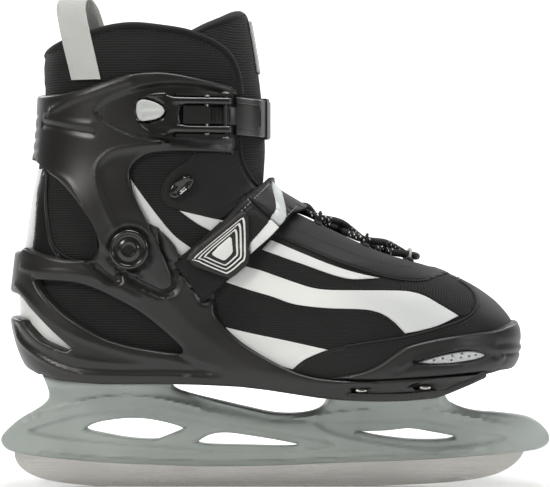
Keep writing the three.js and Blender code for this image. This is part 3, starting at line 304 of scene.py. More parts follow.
# ---------------------------------------------------------------- flat patterns and solids
def pattern(loop, holes=(), step=2.5, rows=()):
    """Triangles that fill a flat pattern, with rows of points beside its edge."""
    loops = [respaced(np.asarray(p, float), step) for p in (loop, *holes)]
    a = np.vstack(loops)
    b = np.vstack([np.roll(p, -1, 0) for p in loops])

    def kept(p):
        ok = inside(p, loops[0])
        for hole in loops[1:]:
            ok &= ~inside(p, hole)
        return p[ok]

    low, high = a.min(0), a.max(0)
    gx = np.arange(low[0], high[0] + step, step)
    gy = np.arange(low[1], high[1] + step, step * 0.866)
    grid = kept(np.array([(x + (step / 2 if j % 2 else 0), y) for j, y in enumerate(gy) for x in gx]))
    if len(grid):
        grid = grid[nearest(grid, a, b)[0] > max([0, *rows]) + 0.55 * step]
    points = [a]
    normal = np.c_[-(b - a)[:, 1], (b - a)[:, 0]] / np.maximum(np.hypot(*(b - a).T), 1e-9)[:, None]
    for row in rows:
        p = kept(np.vstack([(a + b) / 2 + normal * row, (a + b) / 2 - normal * row]))
        if len(p):
            points.append(p[nearest(p, a, b)[0] > 0.93 * row])
    points = np.vstack(points + ([grid] if len(grid) else []))
    edges, start = [], 0
    for p in loops:
        n = len(p)
        edges += [(start + k, start + (k + 1) % n) for k in range(n)]
        start += n
    verts, _, tris, *_ = delaunay_2d_cdt([Vector(p) for p in points], edges, [], 0, 1e-5)
    verts = np.array([tuple(v) for v in verts])
    tris = np.array([t for t in tris if len(t) == 3])
    centre = verts[tris].mean(1)
    ok = inside(centre, loops[0])
    for hole in loops[1:]:
        ok &= ~inside(centre, hole)
    tris = tris[ok]
    used = np.unique(tris)
    back = np.full(len(verts), -1)
    back[used] = np.arange(len(used))
    return verts[used], back[tris]


def rim_of(tris):
    """The edges that only one triangle has, in that triangle's direction."""
    e = np.vstack([tris[:, [0, 1]], tris[:, [1, 2]], tris[:, [2, 0]]])
    names = {}
    for a, b in e.tolist():
        names[(min(a, b), max(a, b))] = None if (min(a, b), max(a, b)) in names else (a, b)
    return np.array([v for v in names.values() if v])


def quarter_round(edge, radius):
    """How far a rounded edge falls away, over the distance in from it."""
    if radius <= 0:
        return np.zeros(np.shape(edge))
    t = np.clip(1 - edge / radius, 0, 1)
    return radius * (1 - np.sqrt(1 - t * t))


def lay_attribute(mesh, lay):
    made = mesh.attributes.new("lay", "FLOAT_VECTOR", "POINT")
    made.data.foreach_set("vector", np.asarray(lay, np.float32).ravel())


def edge_gap(flat, tris):
    """Distance in from the pattern's edge, at each of its points."""
    rim = rim_of(tris)
    return nearest(flat, flat[rim[:, 0]], flat[rim[:, 1]])[0]


def edge_rows(edge):
    """How far in the rows of points lie that carry a rounded edge."""
    return (0.12 * edge, 0.45 * edge, edge) if edge else ()


def to_object(name, points, faces, lay, sharp=38, weld=False):
    """A mesh object from points in millimetres. lay holds what the finishes read at each point."""
    mesh = bpy.data.meshes.new(name)
    mesh.from_pydata((np.asarray(points) * MM).tolist(), [], [list(map(int, f)) for f in faces])
    lay_attribute(mesh, lay)
    bm = bmesh.new()
    bm.from_mesh(mesh)
    if weld:
        bmesh.ops.remove_doubles(bm, verts=[v for v in bm.verts if abs(v.co.y) < 2e-5], dist=2e-5)
    bmesh.ops.dissolve_degenerate(bm, dist=1e-6, edges=bm.edges)
    bmesh.ops.recalc_face_normals(bm, faces=bm.faces)
    bm.to_mesh(mesh)
    bm.free()
    mesh.shade_smooth()
    mesh.set_sharp_from_angle(angle=math.radians(sharp))
    obj = bpy.data.objects.new(name, mesh)
    bpy.context.scene.collection.objects.link(obj)
    return obj


def hump(gap, width):
    return np.exp(-((gap / width) ** 2))


class Spot:
    """Where the points of a flat pattern lie: x, z, distance in from the edge, and distances to lines."""

    def __init__(self, flat, x, z, edge, to_flat):
        self.flat, self.x, self.z, self.edge, self.to_flat = flat, x, z, edge, to_flat

    def line(self, points):
        """Distance to a smooth line, and which side of it."""
        p = self.to_flat(curve(points, 3.0))
        return nearest(self.flat, p[:-1], p[1:])

    def ridge(self, points, width, height):
        """A soft rib along a line, or a groove where height is below zero."""
        gap, _ = self.line(points)
        return height * hump(gap, width)

    def bevel(self, points, slope, most, soft=0.6):
        """Falls away on the left of a line, at a slope, down to most."""
        gap, side = self.line(points)
        run = np.where(side > 0, gap, 0)
        return -most * (1 - np.exp(-slope * (np.sqrt(run**2 + soft**2) - soft) / most))

    def pool(self, points, depth, soft=1.5):
        """A recess with sloping sides inside a closed outline."""
        loop = self.to_flat(np.asarray(points, float))
        gap, _ = nearest(self.flat, loop, np.roll(loop, -1, 0))
        gap = np.where(inside(self.flat, loop), gap, -gap)
        return -depth * ease(gap / soft * 0.5 + 0.5)


def closed_solid(name, flat, tris, outer, inner, on_seam, mirror, bend, lay, sharp=38):
    """A solid between two faces of one pattern. Its rim is walled, except along a seam at the midline."""
    n = len(flat)
    rim = rim_of(tris)
    walls = [(a, b, b + n, a + n) for a, b in rim.tolist() if not (on_seam[a] and on_seam[b])]
    points = np.vstack([outer, inner])
    faces = tris[:, ::-1].tolist() + (tris + n).tolist() + walls
    lay = np.vstack([lay, lay])
    if mirror:
        count = len(points)
        points = np.vstack([points, points * (1, -1, 1)])
        faces += [tuple(i + count for i in reversed(f)) for f in faces]
        lay = np.vstack([lay, lay])
    if bend:
        seam = np.abs(points[:, 1]) < 1e-6
        obj = to_object(name, points, faces, lay, sharp, weld=seam.any())
        for v in obj.data.vertices:
            v.co.y += float(toe_bend(v.co.x / MM)) * MM
        return obj
    return to_object(name, points, faces, lay, sharp, weld=mirror)


def level(given, spot):
    """A height that is given as a number or worked out from the spot."""
    return given(spot) if callable(given) else given + 0 * spot.z


def on_last(name, loop, under, top, holes=(), edge=0.8, relief=None, step=2.5, mirror=True, span=260.0,
            ref=None, sharp=38, reach=1.0):
    """A piece that lies on the boot's last between two distances out from its skin.

    span is the flat pattern's length from heel to toe, reach how much it is stretched in height, and ref the
    distance out at which loop is drawn.
    """
    if ref is None:
        ref = 4.0 if callable(top) else top

    def to_flat(p):
        p = np.asarray(p, float)
        back, front = heel_x(p[:, 1], ref), front_x(p[:, 1], ref)
        s = np.clip((p[:, 0] - back) / (front - back), 0, 1)
        return np.c_[np.arccos(1 - 2 * s) / math.pi * span, p[:, 1] * reach]

    flat, tris = pattern(to_flat(loop), [to_flat(h) for h in holes], step, edge_rows(edge))
    u, z = flat[:, 0] / span, flat[:, 1] / reach
    share = (1 - np.cos(math.pi * u)) / 2
    on_seam = ((u < 1e-5) | (u > 1 - 1e-5)) & mirror
    rim = rim_of(tris)
    rim = rim[~(on_seam[rim[:, 0]] & on_seam[rim[:, 1]])]
    gap = nearest(flat, flat[rim[:, 0]], flat[rim[:, 1]])[0] if len(rim) else np.full(len(flat), 99.0)
    spot = Spot(flat, heel_x(z, ref) + (front_x(z, ref) - heel_x(z, ref)) * share, z, gap, to_flat)
    low = level(under, spot)
    high = level(top, spot) + (relief(spot) if relief else 0)
    high = np.maximum(high - quarter_round(gap, edge), low + 0.15)

    def lifted(out):
        back, front = heel_x(z, out), front_x(z, out)
        x = back + (front - back) * share
        y = np.where(on_seam, 0, half_breadth(x, z, out))
        return np.c_[x, -y, z]

    return closed_solid(name, flat, tris, lifted(high), lifted(low), on_seam, mirror, True,
                        np.c_[flat[:, 0], flat[:, 1], gap], sharp)


def slab(name, loop, outer, inner=None, holes=(), edge=0.8, step=2.0, warp=None, relief=None, sharp=38):
    """A plate cut to a flat (x, z) outline. outer and inner are its faces' heights, and warp places it.

    Without inner, the far face mirrors the near one.
    """
    flat, tris = pattern(loop, holes, step, edge_rows(edge))
    gap = edge_gap(flat, tris)
    spot = Spot(flat, flat[:, 0], flat[:, 1], gap, lambda p: np.asarray(p, float))
    high = level(outer, spot) + (relief(spot) if relief else 0) - quarter_round(gap, edge)
    low = -high if inner is None else level(inner, spot)
    faces = [np.c_[flat[:, 0], -h, flat[:, 1]] for h in (high, low)]
    if warp:
        faces = [warp(f) for f in faces]
    none = np.zeros(len(flat), bool)
    return closed_solid(name, flat, tris, *faces, none, False, False, np.c_[flat, gap], sharp)


def level_piece(name, x, half, rows, faces):
    """A piece that lies along the sole, from its half breadths over x. faces gives its two heights."""
    loop = np.vstack([np.c_[x, -half], np.c_[x, half][::-1]])
    loop = loop[np.linalg.norm(loop - np.roll(loop, -1, 0), axis=1) > 0.3]
    flat, tris = pattern(loop, (), 4.0, rows)
    gap = edge_gap(flat, tris)
    low, high = (np.c_[flat, h] for h in faces(flat, gap))
    none = np.zeros(len(flat), bool)
    return closed_solid(name, flat, tris, low, high, none, False, True, np.c_[flat, gap])


def swept(name, path, section, closed=False, ups=None, sharp=50):
    """A section (list of (across, up)) carried along a path of points. Its ends are capped."""
    p = np.asarray(path, float)
    ahead = unit(np.roll(p, -1, 0) - np.roll(p, 1, 0) if closed else np.gradient(p, axis=0))
    if ups is None:
        up = np.cross(ahead[0], (0.3, 0.9, 0.2))
        ups = []
        for t in ahead:
            up = unit(up - t * (up @ t))
            ups.append(up)
    ups = np.broadcast_to(np.asarray(ups, float), p.shape)
    ups = unit(ups - ahead * (ups * ahead).sum(1)[:, None])
    side = np.cross(ahead, ups)
    sec = np.asarray(section, float)
    n, m = len(p), len(sec)
    points = (p[:, None] + (side[:, None] * sec[:, 0, None] + ups[:, None] * sec[:, 1, None])).reshape(-1, 3)
    lay = np.array([(run, j / m, 0) for run in distance_run(p) for j in range(m)])
    faces = []
    for i in range(n if closed else n - 1):
        for j in range(m):
            a, b = i * m + j, i * m + (j + 1) % m
            c, d = ((i + 1) % n) * m + (j + 1) % m, ((i + 1) % n) * m + j
            faces.append((a, b, c, d))
    if not closed:
        faces += [tuple(range(m))[::-1], tuple((n - 1) * m + j for j in range(m))]
    return to_object(name, points, faces, lay, sharp)


def ring_section(radius, sides=10, flat=1.0):
    """The section of a round cord, or of an oval one where flat isn't 1."""
    t = full_turn(sides)
    return np.c_[radius * np.cos(t), radius * flat * np.sin(t)]


UPRIGHT = (0, 0, 1.0)


def turned(name, profile, centre, axis="y", side=-1, sides=48, sharp=40):
    """A round piece from a profile of (radius, height) points, standing on an axis."""
    points, faces = [], []
    for r, h in profile:
        for a in full_turn(sides):
            points.append((r * math.cos(a), side * h, r * math.sin(a)) if axis == "y"
                          else (r * math.cos(a), r * math.sin(a), h))
    for i in range(len(profile) - 1):
        for j in range(sides):
            k = (j + 1) % sides
            faces.append((i * sides + j, i * sides + k, (i + 1) * sides + k, (i + 1) * sides + j))
    faces += [tuple(range(sides))[::-1], tuple((len(profile) - 1) * sides + j for j in range(sides))]
    points = np.array(points) + np.asarray(centre, float)
    return to_object(name, points, faces, points * 1.0, sharp)


def joined(name, *pieces):
    """Several meshes as one object. It gets its finish when it is dressed."""
    mesh = bpy.data.meshes.new(name)
    bm = bmesh.new()
    for piece in pieces:
        bm.from_mesh(piece.data)
    bm.to_mesh(mesh)
    bm.free()
    for piece in pieces:
        bpy.data.objects.remove(piece)
    obj = bpy.data.objects.new(name, mesh)
    bpy.context.scene.collection.objects.link(obj)
    return obj


# ---------------------------------------------------------------- shader maths
class Flow:
    """A value that runs through a material's nodes."""

    def __init__(self, tree, socket):
        self.tree, self.socket = tree, socket

    def _math(self, kind, a, b=None):
        node = self.tree.nodes.new("ShaderNodeMath")
        node.operation = kind
        for i, v in enumerate((a, b)):
            if isinstance(v, Flow):
                self.tree.links.new(v.socket, node.inputs[i])
            elif v is not None:
                node.inputs[i].default_value = v
        return Flow(self.tree, node.outputs[0])

    def __add__(self, other):
        return self._math("ADD", self, other)

    def __sub__(self, other):
        return self._math("SUBTRACT", self, other)

    def __rsub__(self, other):
        return self._math("SUBTRACT", other, self)

    def __mul__(self, other):
        return self._math("MULTIPLY", self, other)

    def __truediv__(self, other):
        return self._math("DIVIDE", self, other)

    __radd__, __rmul__ = __add__, __mul__

    def sin(self):
        return self._math("SINE", self)

    def wave(self, period, shift=0.0):
        """A wave from 0 to 1, over a period in this value's own units."""
        return (self * (2 * math.pi / period) + shift).sin() * 0.5 + 0.5

    def clamped(self):
        return self._math("MINIMUM", self._math("MAXIMUM", self, 0.0), 1.0)

    def above(self, level):
        return self._math("GREATER_THAN", self, level)


class Finish:
    """One material: a shader and the nodes that feed it."""

    def __init__(self, name):
        self.material = bpy.data.materials.new(name)
        self.material.use_nodes = True
        self.tree = self.material.node_tree
        self.shader = self.tree.nodes["Principled BSDF"]

    def node(self, kind, settings=None, inputs=None, out=0):
        node = self.tree.nodes.new("ShaderNode" + kind)
        for key, value in (settings or {}).items():
            if key == "stops":
                ramp = node.color_ramp
                while len(ramp.elements) < len(value):
                    ramp.elements.new(0.5)
                for element, (at, colour) in zip(ramp.elements, value):
                    element.position, element.color = at, colour
            else:
                setattr(node, key, value)
        for key, value in (inputs or {}).items():
            if isinstance(value, Flow):
                self.tree.links.new(value.socket, node.inputs[key])
            else:
                node.inputs[key].default_value = value
        return Flow(self.tree, node.outputs[out])

    def mix(self, factor, a, b):
        inputs = {0: factor, 6: a, 7: b}
        inputs = {k: v if k == 0 or isinstance(v, Flow) else (*tuple(v)[:3], 1.0) for k, v in inputs.items()}
        return self.node("Mix", {"data_type": "RGBA"}, inputs, out=2)

    def object_place(self, scale):
        return self.node("Mapping", None, {0: self.node("TexCoord", out=3), 3: scale})

    def noise(self, size_mm, detail=3.0, stretch=(1, 1, 1)):
        place = self.object_place(tuple(1000.0 / size_mm / s for s in stretch))
        return self.node("TexNoise", None, {"Vector": place, "Scale": 1.0, "Detail": detail})

    def lay(self):
        """The cloth's own directions in mm: along, across, and distance in from the edge."""
        at = self.node("Attribute", {"attribute_name": "lay"}, out=1)
        split = self.tree.nodes.new("ShaderNodeSeparateXYZ")
        self.tree.links.new(at.socket, split.inputs[0])
        return [Flow(self.tree, split.outputs[i]) for i in range(3)]

    def done(self, colour, roughness, height=None, depth=0.2, **constants):
        """Feeds the shader. depth is the height's size in millimetres."""
        for key, value in {"Base Color": colour, "Roughness": roughness}.items():
            if isinstance(value, Flow):
                self.tree.links.new(value.socket, self.shader.inputs[key])
            else:
                self.shader.inputs[key].default_value = (*value, 1.0) if key == "Base Color" else value
        if height is not None:
            bump = self.node("Bump", None, {"Strength": 1.0, "Distance": depth * MM, "Height": height})
            self.tree.links.new(bump.socket, self.shader.inputs["Normal"])
        for key, value in constants.items():
            self.shader.inputs[key.replace("_", " ")].default_value = value
        return self.material


FINISHES = {}


def finish(name):
    """A material by name, made once."""
    if name not in FINISHES:
        FINISHES[name] = MAKERS[name]()
    return FINISHES[name]


def tones():
    """The colours that the panel shows."""
    return bpy.context.scene.skate_colours


def shade(colour, k):
    """A colour made k times as light."""
    return tuple(min(1.0, c * k) for c in colour)


def moulded(name, colour, rough, grain=0.35, depth=0.012, coat=0.0, edge_highlight_tone=1.8):
    """Moulded plastic: a fine spark grain, slow unevenness in gloss, edges rubbed a little paler."""
    f = Finish(name)
    slow, fine = f.noise(38, 2), f.noise(grain, 2)
    _, _, edge = f.lay()
    # Painted highlight: a band up to 0.9 mm in from the edges, in slow patches.
    painted_edge_highlight = (1 - edge / 0.9).clamped() * slow
    tone = f.mix((slow * 1.6 - 0.3).clamped(), shade(colour, 0.86), shade(colour, 1.12))
    # The edge band mixed towards a paler tone of the plastic, a painted highlight.
    tone = f.mix((painted_edge_highlight * 0.8).clamped(), tone, shade(colour, edge_highlight_tone))
    return f.done(tone, slow * 0.14 + (rough - 0.07) + fine * 0.04, fine, depth, Coat_Weight=coat)


def knit(name, colour, pitch, slant=0.0, depth=0.16, holes=True):
    """Open sports mesh: ribs along the cloth with small gaps between their stitches."""
    f = Finish(name)
    along_, across, _ = f.lay()
    rib = (across + along_ * slant).wave(pitch)
    stitch = (along_ - across * slant).wave(pitch * 1.15, rib.above(0.5) * math.pi)
    weave = rib * 0.7 + stitch * 0.3
    slow = f.noise(22, 3)
    lint = f.noise(0.7, 2)
    painted_gap_shade = (1 - rib) * (1 - stitch) if holes else (1 - rib) * 0.5
    # Painted highlight on the rib tops and painted shade in the hollows between them.
    tone = f.mix(weave, shade(colour, 0.3), shade(colour, 2.4))
    # Painted shade in the gaps between stitches; without holes, painted shade between the ribs.
    tone = f.mix((painted_gap_shade * 0.8).clamped(), tone, shade(colour, 0.15))
    tone = f.mix((slow * lint * 0.6).clamped(), tone, shade(colour, 3.4))
    return f.done(tone, 0.88 - weave * 0.1, weave + lint * 0.15, depth, Specular_IOR_Level=0.22,
                  Sheen_Weight=0.02, Sheen_Roughness=0.5)


def hide(name, colour, rough=0.62, pebble=1.1, coat=0.0):
    """Smooth coated hide: shallow pebbling and creases, a stitched-down edge."""
    f = Finish(name)
    place = f.object_place((1000, 1000, 1000))
    cells = f.node("TexVoronoi", {"feature": "SMOOTH_F1"},
                   {"Vector": place, "Scale": 1 / pebble, "Smoothness": 0.7})
    slow, fine = f.noise(30, 3), f.noise(0.5, 2)
    _, _, edge = f.lay()
    off_seam = (edge - 1.6) * 1.4
    dip = (1 - off_seam * off_seam).clamped()
    tone = f.mix((slow * 1.5 - 0.25).clamped(), shade(colour, 0.8), shade(colour, 1.25))
    return f.done(tone, slow * 0.12 + (rough - 0.06), cells * 0.5 + fine * 0.2 - dip * 1.4, 0.13,
                  Specular_IOR_Level=0.3, Coat_Weight=coat)


def pearl(name, colour, cool):
    """The pale stripes: a pearly film that drifts towards blue-grey, with a faint pebble."""
    f = Finish(name)
    slow = f.noise(60, 1.5, (2.2, 1, 0.7))
    fine = f.noise(0.45, 2)
    _, _, edge = f.lay()
    tone = f.mix((slow * 2.6 - 0.95).clamped(), colour, cool)
    tone = f.mix(((1 - edge / 0.5).clamped() * 0.35), tone, shade(cool, 0.7))
    return f.done(tone, slow * 0.1 + 0.3, fine, 0.02, Coat_Weight=0.25, Coat_Roughness=0.2)


def plush(name, colour):
    """Brushed lining: soft nap and faint ribs."""
    f = Finish(name)
    nap, clump, slow = f.noise(0.6, 3), f.noise(3.5, 3), f.noise(26, 2)
    tone = f.mix((nap * 0.7 + clump * 0.5 - 0.1).clamped(), shade(colour, 0.55), shade(colour, 1.7))
    tone = f.mix((slow * 0.6).clamped(), tone, shade(colour, 0.8))
    return f.done(tone, 0.92 - nap * 0.08, nap * 0.6 + clump * 0.8, 0.3, Specular_IOR_Level=0.15,
                  Sheen_Weight=0.03, Sheen_Roughness=0.6)


def twill(name, colour, pitch=0.9, slant=1.0, contrast=0.35, depth=0.14):
    """Woven tape: slanted ribs with threads crossing them."""
    f = Finish(name)
    along_, across, _ = f.lay()
    rib = (along_ * slant + across).wave(pitch)
    thread = (along_ - across * slant).wave(pitch * 0.6)
    weave = rib * 0.75 + thread * 0.25
    lint, slow = f.noise(0.6, 2), f.noise(14, 2)
    tone = f.mix(weave, shade(colour, 1 - contrast), shade(colour, 1 + contrast * 0.4))
    tone = f.mix((slow * 0.4).clamped(), tone, shade(colour, 0.85))
    return f.done(tone, 0.8 - weave * 0.1, weave + lint * 0.2, depth, Specular_IOR_Level=0.3,
                  Sheen_Weight=0.02)


def brushed(name, colour, rough=0.26):
    """Ground steel: fine lines along the blade, duller patches, a few scratches."""
    f = Finish(name)
    lines = f.noise(0.35, 3, (60, 1, 1))
    broad = f.noise(5, 2, (9, 1, 1))
    slow = f.noise(42, 2)
    tone = f.mix((broad * 1.3 - 0.2).clamped(), shade(colour, 0.88), shade(colour, 1.06))
    return f.done(tone, slow * 0.12 + lines * 0.16 + (rough - 0.12), lines, 0.006, Metallic=1.0)


def lace_cord(name, dark, fleck):
    """A round braided lace: slanted strands, and clusters of pale flecks at its bends."""
    f = Finish(name)
    run, turn, _ = f.lay()
    pitch, round_it = 2.2, turn * (2 * math.pi * 4)
    braid = run.wave(pitch, round_it) * 0.5 + run.wave(pitch, round_it * -1.0) * 0.5
    mark = run.wave(pitch).above(0.675) * (round_it + run * 1.4).sin().above(0.5)
    cluster = run.wave(30.0, 2.2).above(0.5)
    tone = f.mix(braid, shade(dark, 0.5), shade(dark, 1.6))
    tone = f.mix(mark * cluster * 0.9, tone, fleck)
    return f.done(tone, 0.75 - braid * 0.1, braid, 0.35, Specular_IOR_Level=0.3)


def dotted_silver(name, colour):
    """The vents' silver gauze."""
    f = Finish(name)
    along_, across, _ = f.lay()
    gauze = along_.wave(0.9) * across.wave(0.9)
    slow = f.noise(12, 2)
    tone = f.mix(gauze, shade(colour, 0.75), shade(colour, 1.1))
    return f.done(f.mix((slow * 0.6).clamped(), tone, shade(colour, 0.8)), 0.35 + gauze * 0.1, gauze, 0.12,
                  Metallic=0.35)


MAKERS = {
    "black_plastic": lambda: moulded("black_plastic", tones().plastic, 0.34, depth=0.008),
    "plain_black": lambda: moulded("plain_black", shade(tones().plastic, 0.8), 0.3, depth=0.006, edge_highlight_tone=1.0),
    "tab_plastic": lambda: moulded("tab_plastic", shade(tones().trim, 0.72), 0.35, edge_highlight_tone=1.15),
    "gloss_black": lambda: moulded("gloss_black", shade(tones().plastic, 0.8), 0.2, depth=0.004, coat=0.3),
    "holder_plastic": lambda: moulded("holder_plastic", tones().holder, 0.4, depth=0.008, edge_highlight_tone=1.25),
    "toe_rubber": lambda: moulded("toe_rubber", shade(tones().plastic, 0.9), 0.42, grain=0.5, depth=0.014),
    "badge_rubber": lambda: moulded("badge_rubber", shade(tones().plastic, 0.8), 0.5, grain=0.5,
                                    depth=0.014),
    "pale_line": lambda: moulded("pale_line", shade(tones().stripe, 0.95), 0.5, edge_highlight_tone=1.0),
    "pale_trim": lambda: moulded("pale_trim", tones().trim, 0.3, edge_highlight_tone=1.1, coat=0.2),
    "steel_runner": lambda: brushed("steel_runner", tones().runner),
    "hardware": lambda: brushed("hardware", shade(tones().runner, 0.9), 0.3),
    "vent_silver": lambda: dotted_silver("vent_silver", (0.66, 0.67, 0.68)),
    "vamp_mesh": lambda: knit("vamp_mesh", tones().cloth, 1.5, depth=0.24),
    "toe_mesh": lambda: knit("toe_mesh", tones().cloth, 1.9, slant=-0.9, depth=0.35, holes=False),
    "ankle_mesh": lambda: knit("ankle_mesh", tones().cloth, 1.5, depth=0.22),
    "tongue_mesh": lambda: knit("tongue_mesh", tones().cloth, 1.5, slant=0.35, depth=0.24),
    "hide": lambda: hide("hide", tones().hide),
    "strap_hide": lambda: hide("strap_hide", shade(tones().hide, 1.1), 0.52, 0.9),
    "heel_gloss": lambda: hide("heel_gloss", shade(tones().hide, 0.9), 0.3, 1.4, 0.2),
    "stripe": lambda: pearl("stripe", tones().stripe, tones().stripe_cool),
    "grey_stripe": lambda: pearl("grey_stripe", tones().stripe_cool, shade(tones().stripe_cool, 0.6)),
    "lining": lambda: plush("lining", tones().lining),
    "footbed": lambda: plush("footbed", shade(tones().lining, 1.2)),
    "board": lambda: plush("board", (0.15, 0.12, 0.09)),
    "binding": lambda: twill("binding", shade(tones().cloth, 1.1), 0.8, 0.0, 0.5),
    "webbing": lambda: twill("webbing", shade(tones().cloth, 1.8), 1.5, 2.0, 0.7, 0.3),
    "loop_tape": lambda: twill("loop_tape", tones().tape, 1.2, 0.9, 0.2, 0.16),
    "lace": lambda: lace_cord("lace", shade(tones().cloth, 0.9), shade(tones().stripe, 0.9)),
    "thread": lambda: twill("thread", shade(tones().cloth, 3.0), 0.4, 1.0, 0.3, 0.05),
    "pale_thread": lambda: twill("pale_thread", (0.32, 0.33, 0.34), 0.4, 1.0, 0.3, 0.05),
}


def dress(obj, name, body=None, nodes=(), blend=False):
    """Gives a piece its finish, its slot, the body it rides and the CAD nodes it stands for."""
    obj.data.materials.clear()
    obj.data.materials.append(finish(name))
    if blend:
        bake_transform(obj)
    elif body:
        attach(obj, body)
    if nodes:
        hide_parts(*nodes)
    return obj


STITCH_LENGTH, STITCH_THICK = 1.7, 0.26
# One stitch: its corners as shares of its length, half its breadth and its height, and its faces.
STITCH_POINTS = [(-0.5, 0, 0), (-0.3, 1, 0), (-0.3, 0, 1), (-0.3, -1, 0), (0.3, 1, 0), (0.3, 0, 1),
                 (0.3, -1, 0), (0.5, 0, 0), (-0.3, 0, -0.6), (0.3, 0, -0.6)]
STITCH_FACES = [(0, 2, 1), (0, 3, 2), (1, 2, 5, 4), (2, 3, 6, 5), (7, 4, 5), (7, 5, 6), (0, 1, 8), (0, 8, 3),
                (1, 4, 9, 8), (8, 9, 6, 3), (7, 9, 4), (7, 6, 9)]


def outward(x, z, out):
    """The direction away from the skin at (x, z), on the outer side."""
    near = 0.5
    gx = half_breadth(x + near, z, out) - half_breadth(x - near, z, out)
    gz = half_breadth(x, z + near, out) - half_breadth(x, z - near, out)
    return unit((-gx / (2 * near), -1.0, -gz / (2 * near)))


def stitches(name, lines, out, body=None, blend=False, finish_name="thread", mirror=True):
    """Rows of thread loops that lie on the last, along lines of (x, z) points."""
    pitch = round(bpy.context.scene.skate_sizes.stitch_pitch, 4)
    points, faces = [], []
    for line in lines:
        p = curve(line, 0.6)
        q = np.c_[p[:, 0], -half_breadth(p[:, 0], p[:, 1], out), p[:, 1]]
        run = distance_run(q)
        for k in range(int(run[-1] // pitch)):
            middle = (k + 0.5) * pitch
            reach = (middle - STITCH_LENGTH / 2, middle + STITCH_LENGTH / 2)
            ends = np.array([[np.interp(s, run, q[:, i]) for i in range(3)] for s in reach])
            mid = ends.mean(0)
            if half_breadth(mid[0], mid[2], out) < 0.5:
                continue
            ahead = unit(ends[1] - ends[0])
            up = outward(mid[0], mid[2], out)
            side = unit(np.cross(up, ahead))
            for flip in ((1, -1) if mirror else (1,)):
                start = len(points)
                for i, j, h in STITCH_POINTS:
                    v = mid + ahead * i * STITCH_LENGTH + (side * j + up * h) * STITCH_THICK
                    points.append((v[0], v[1] * flip, v[2]))
                faces += [tuple(start + i for i in f[::flip]) for f in STITCH_FACES]
    points = np.array(points)
    points[:, 1] += toe_bend(points[:, 0])
    return dress(to_object(name, points, faces, points, 80), finish_name, body, blend=blend)


def offset_line(line, amount):
    """An open line of (x, z) points moved sideways; + is left of its direction."""
    p = curve(line, 2.0)
    t = unit(np.gradient(p, axis=0))
    return p + amount * np.c_[-t[:, 1], t[:, 0]]




def grown(loop, out):
    """A closed outline moved outwards."""
    p = np.asarray(loop, float)
    x, y = p.T
    if (x * np.roll(y, -1) - np.roll(x, -1) * y).sum() < 0:
        out = -out
    a, b = unit(p - np.roll(p, 1, 0)), unit(np.roll(p, -1, 0) - p)
    mitre = unit(np.c_[a[:, 1] + b[:, 1], -(a[:, 0] + b[:, 0])])
    reach = out / np.maximum(0.5, (mitre * np.c_[a[:, 1], -a[:, 0]]).sum(1))
    return p + mitre * reach[:, None]


def sole_track(x0, x1, rise):
    """A line of (x, z) points that follows the sole, rise millimetres above it."""
    x = np.arange(min(x0, x1), max(x0, x1) + 0.1, 3.0)
    p = np.c_[x, sole_z(x) + rise]
    return p if x0 < x1 else p[::-1]


def x_near_front(y, z, out):
    """The x at which the skin's half breadth has come down to y, at the shin or toe."""
    low = (heel_x(z, out) + front_x(z, out)) / 2
    high = front_x(z, out)
    for _ in range(40):
        x = (low + high) / 2
        wide = half_breadth(x, z, out) > y
        low, high = np.where(wide, x, low), np.where(wide, high, x)
    return low


# ---------------------------------------------------------------- runner and blade holder
RUNNER = (
    [(-156, 25.5), (-156, 18.6), (-154.2, 13.8), (-150, 9.6), (-143.4, 6), (-133.8, 3.3), (-121.8, 1.5),
     (-105, 0)],
    [(-105, 0), (51, 0)],
    [(51, 0), (78, 0.9), (99, 2.1), (114, 3.6), (126, 5.7), (135, 8.4), (142.2, 12.6), (147.6, 18),
     (151, 25.5)],
    [(151, 25.5), (100, 23), (27, 20.5), (-40, 19.8), (-100, 22.5), (-156, 25.5)],
)
HOLDER_REAR = [
    (-137, 67.6), (-134.5, 61), (-134.5, 54.4), (-137.4, 50.4), (-145, 45.2), (-153, 40.6), (-160.2, 34.2),
    (-163.6, 28.6), (-161, 23.4), (-155, 20.6), (-138, 17.4),
]
HOLDER_UNDER = [
    (-138, 17.4), (-105, 14.4), (-75, 12.9), (-39, 11.8), (-3, 12.3), (27, 13.5), (87, 15.9), (123, 18.3),
    (150, 21),
]
HOLDER_NOSE = [
    (150, 21), (157.8, 22.8), (162.6, 25.8), (163.8, 29.4), (162, 34.2), (156.5, 39.6), (149, 42.3),
    (135, 44.1), (121, 45.3), (112, 47.4), (104, 51.4), (100, 57.2),
]
HOLDER_GAP = [
    (31.5, 55.6), (30, 49.6), (25, 46.2), (18, 44.4), (9, 43.7), (-2, 44.4), (-15, 47.1), (-33, 51.3),
    (-51, 55.8), (-60, 59.2), (-63, 63.2),
]
WINDOWS = (
    [(-112.8, 34.8), (-110.4, 36.9), (-103, 39.3), (-88, 41.1), (-75, 40.5), (-62, 37.8), (-54.9, 35.1),
     (-58, 33.2), (-66, 30), (-72, 28.4), (-87, 29.2), (-99, 31.2), (-109.8, 33.3), (-112.8, 34.8)],
    [(-46.2, 26.7), (-43.2, 29.1), (-37, 31.7), (-28, 32.4), (-15, 30.7), (3, 27.7), (13.8, 25.2), (6, 24.4),
     (-18, 24.9), (-40, 25.5), (-46.2, 26.7)],
    [(49.2, 33.4), (57, 33.3), (68, 33.8), (80, 35), (92, 33.3), (106.8, 30.3), (104, 28.7), (95, 28.1),
     (80, 28.4), (63, 30.4), (54, 32.2), (49.2, 33.4)],
)
HOLDER_HALF = [(5, 4.6), (18, 5.6), (24, 7.6), (32, 9), (44, 9.6), (62, 10), (75, 10)]
FLARE = [(-20, 9.2), (-13, 11.5), (-7, 16), (-2.5, 22), (6, 23.5)]
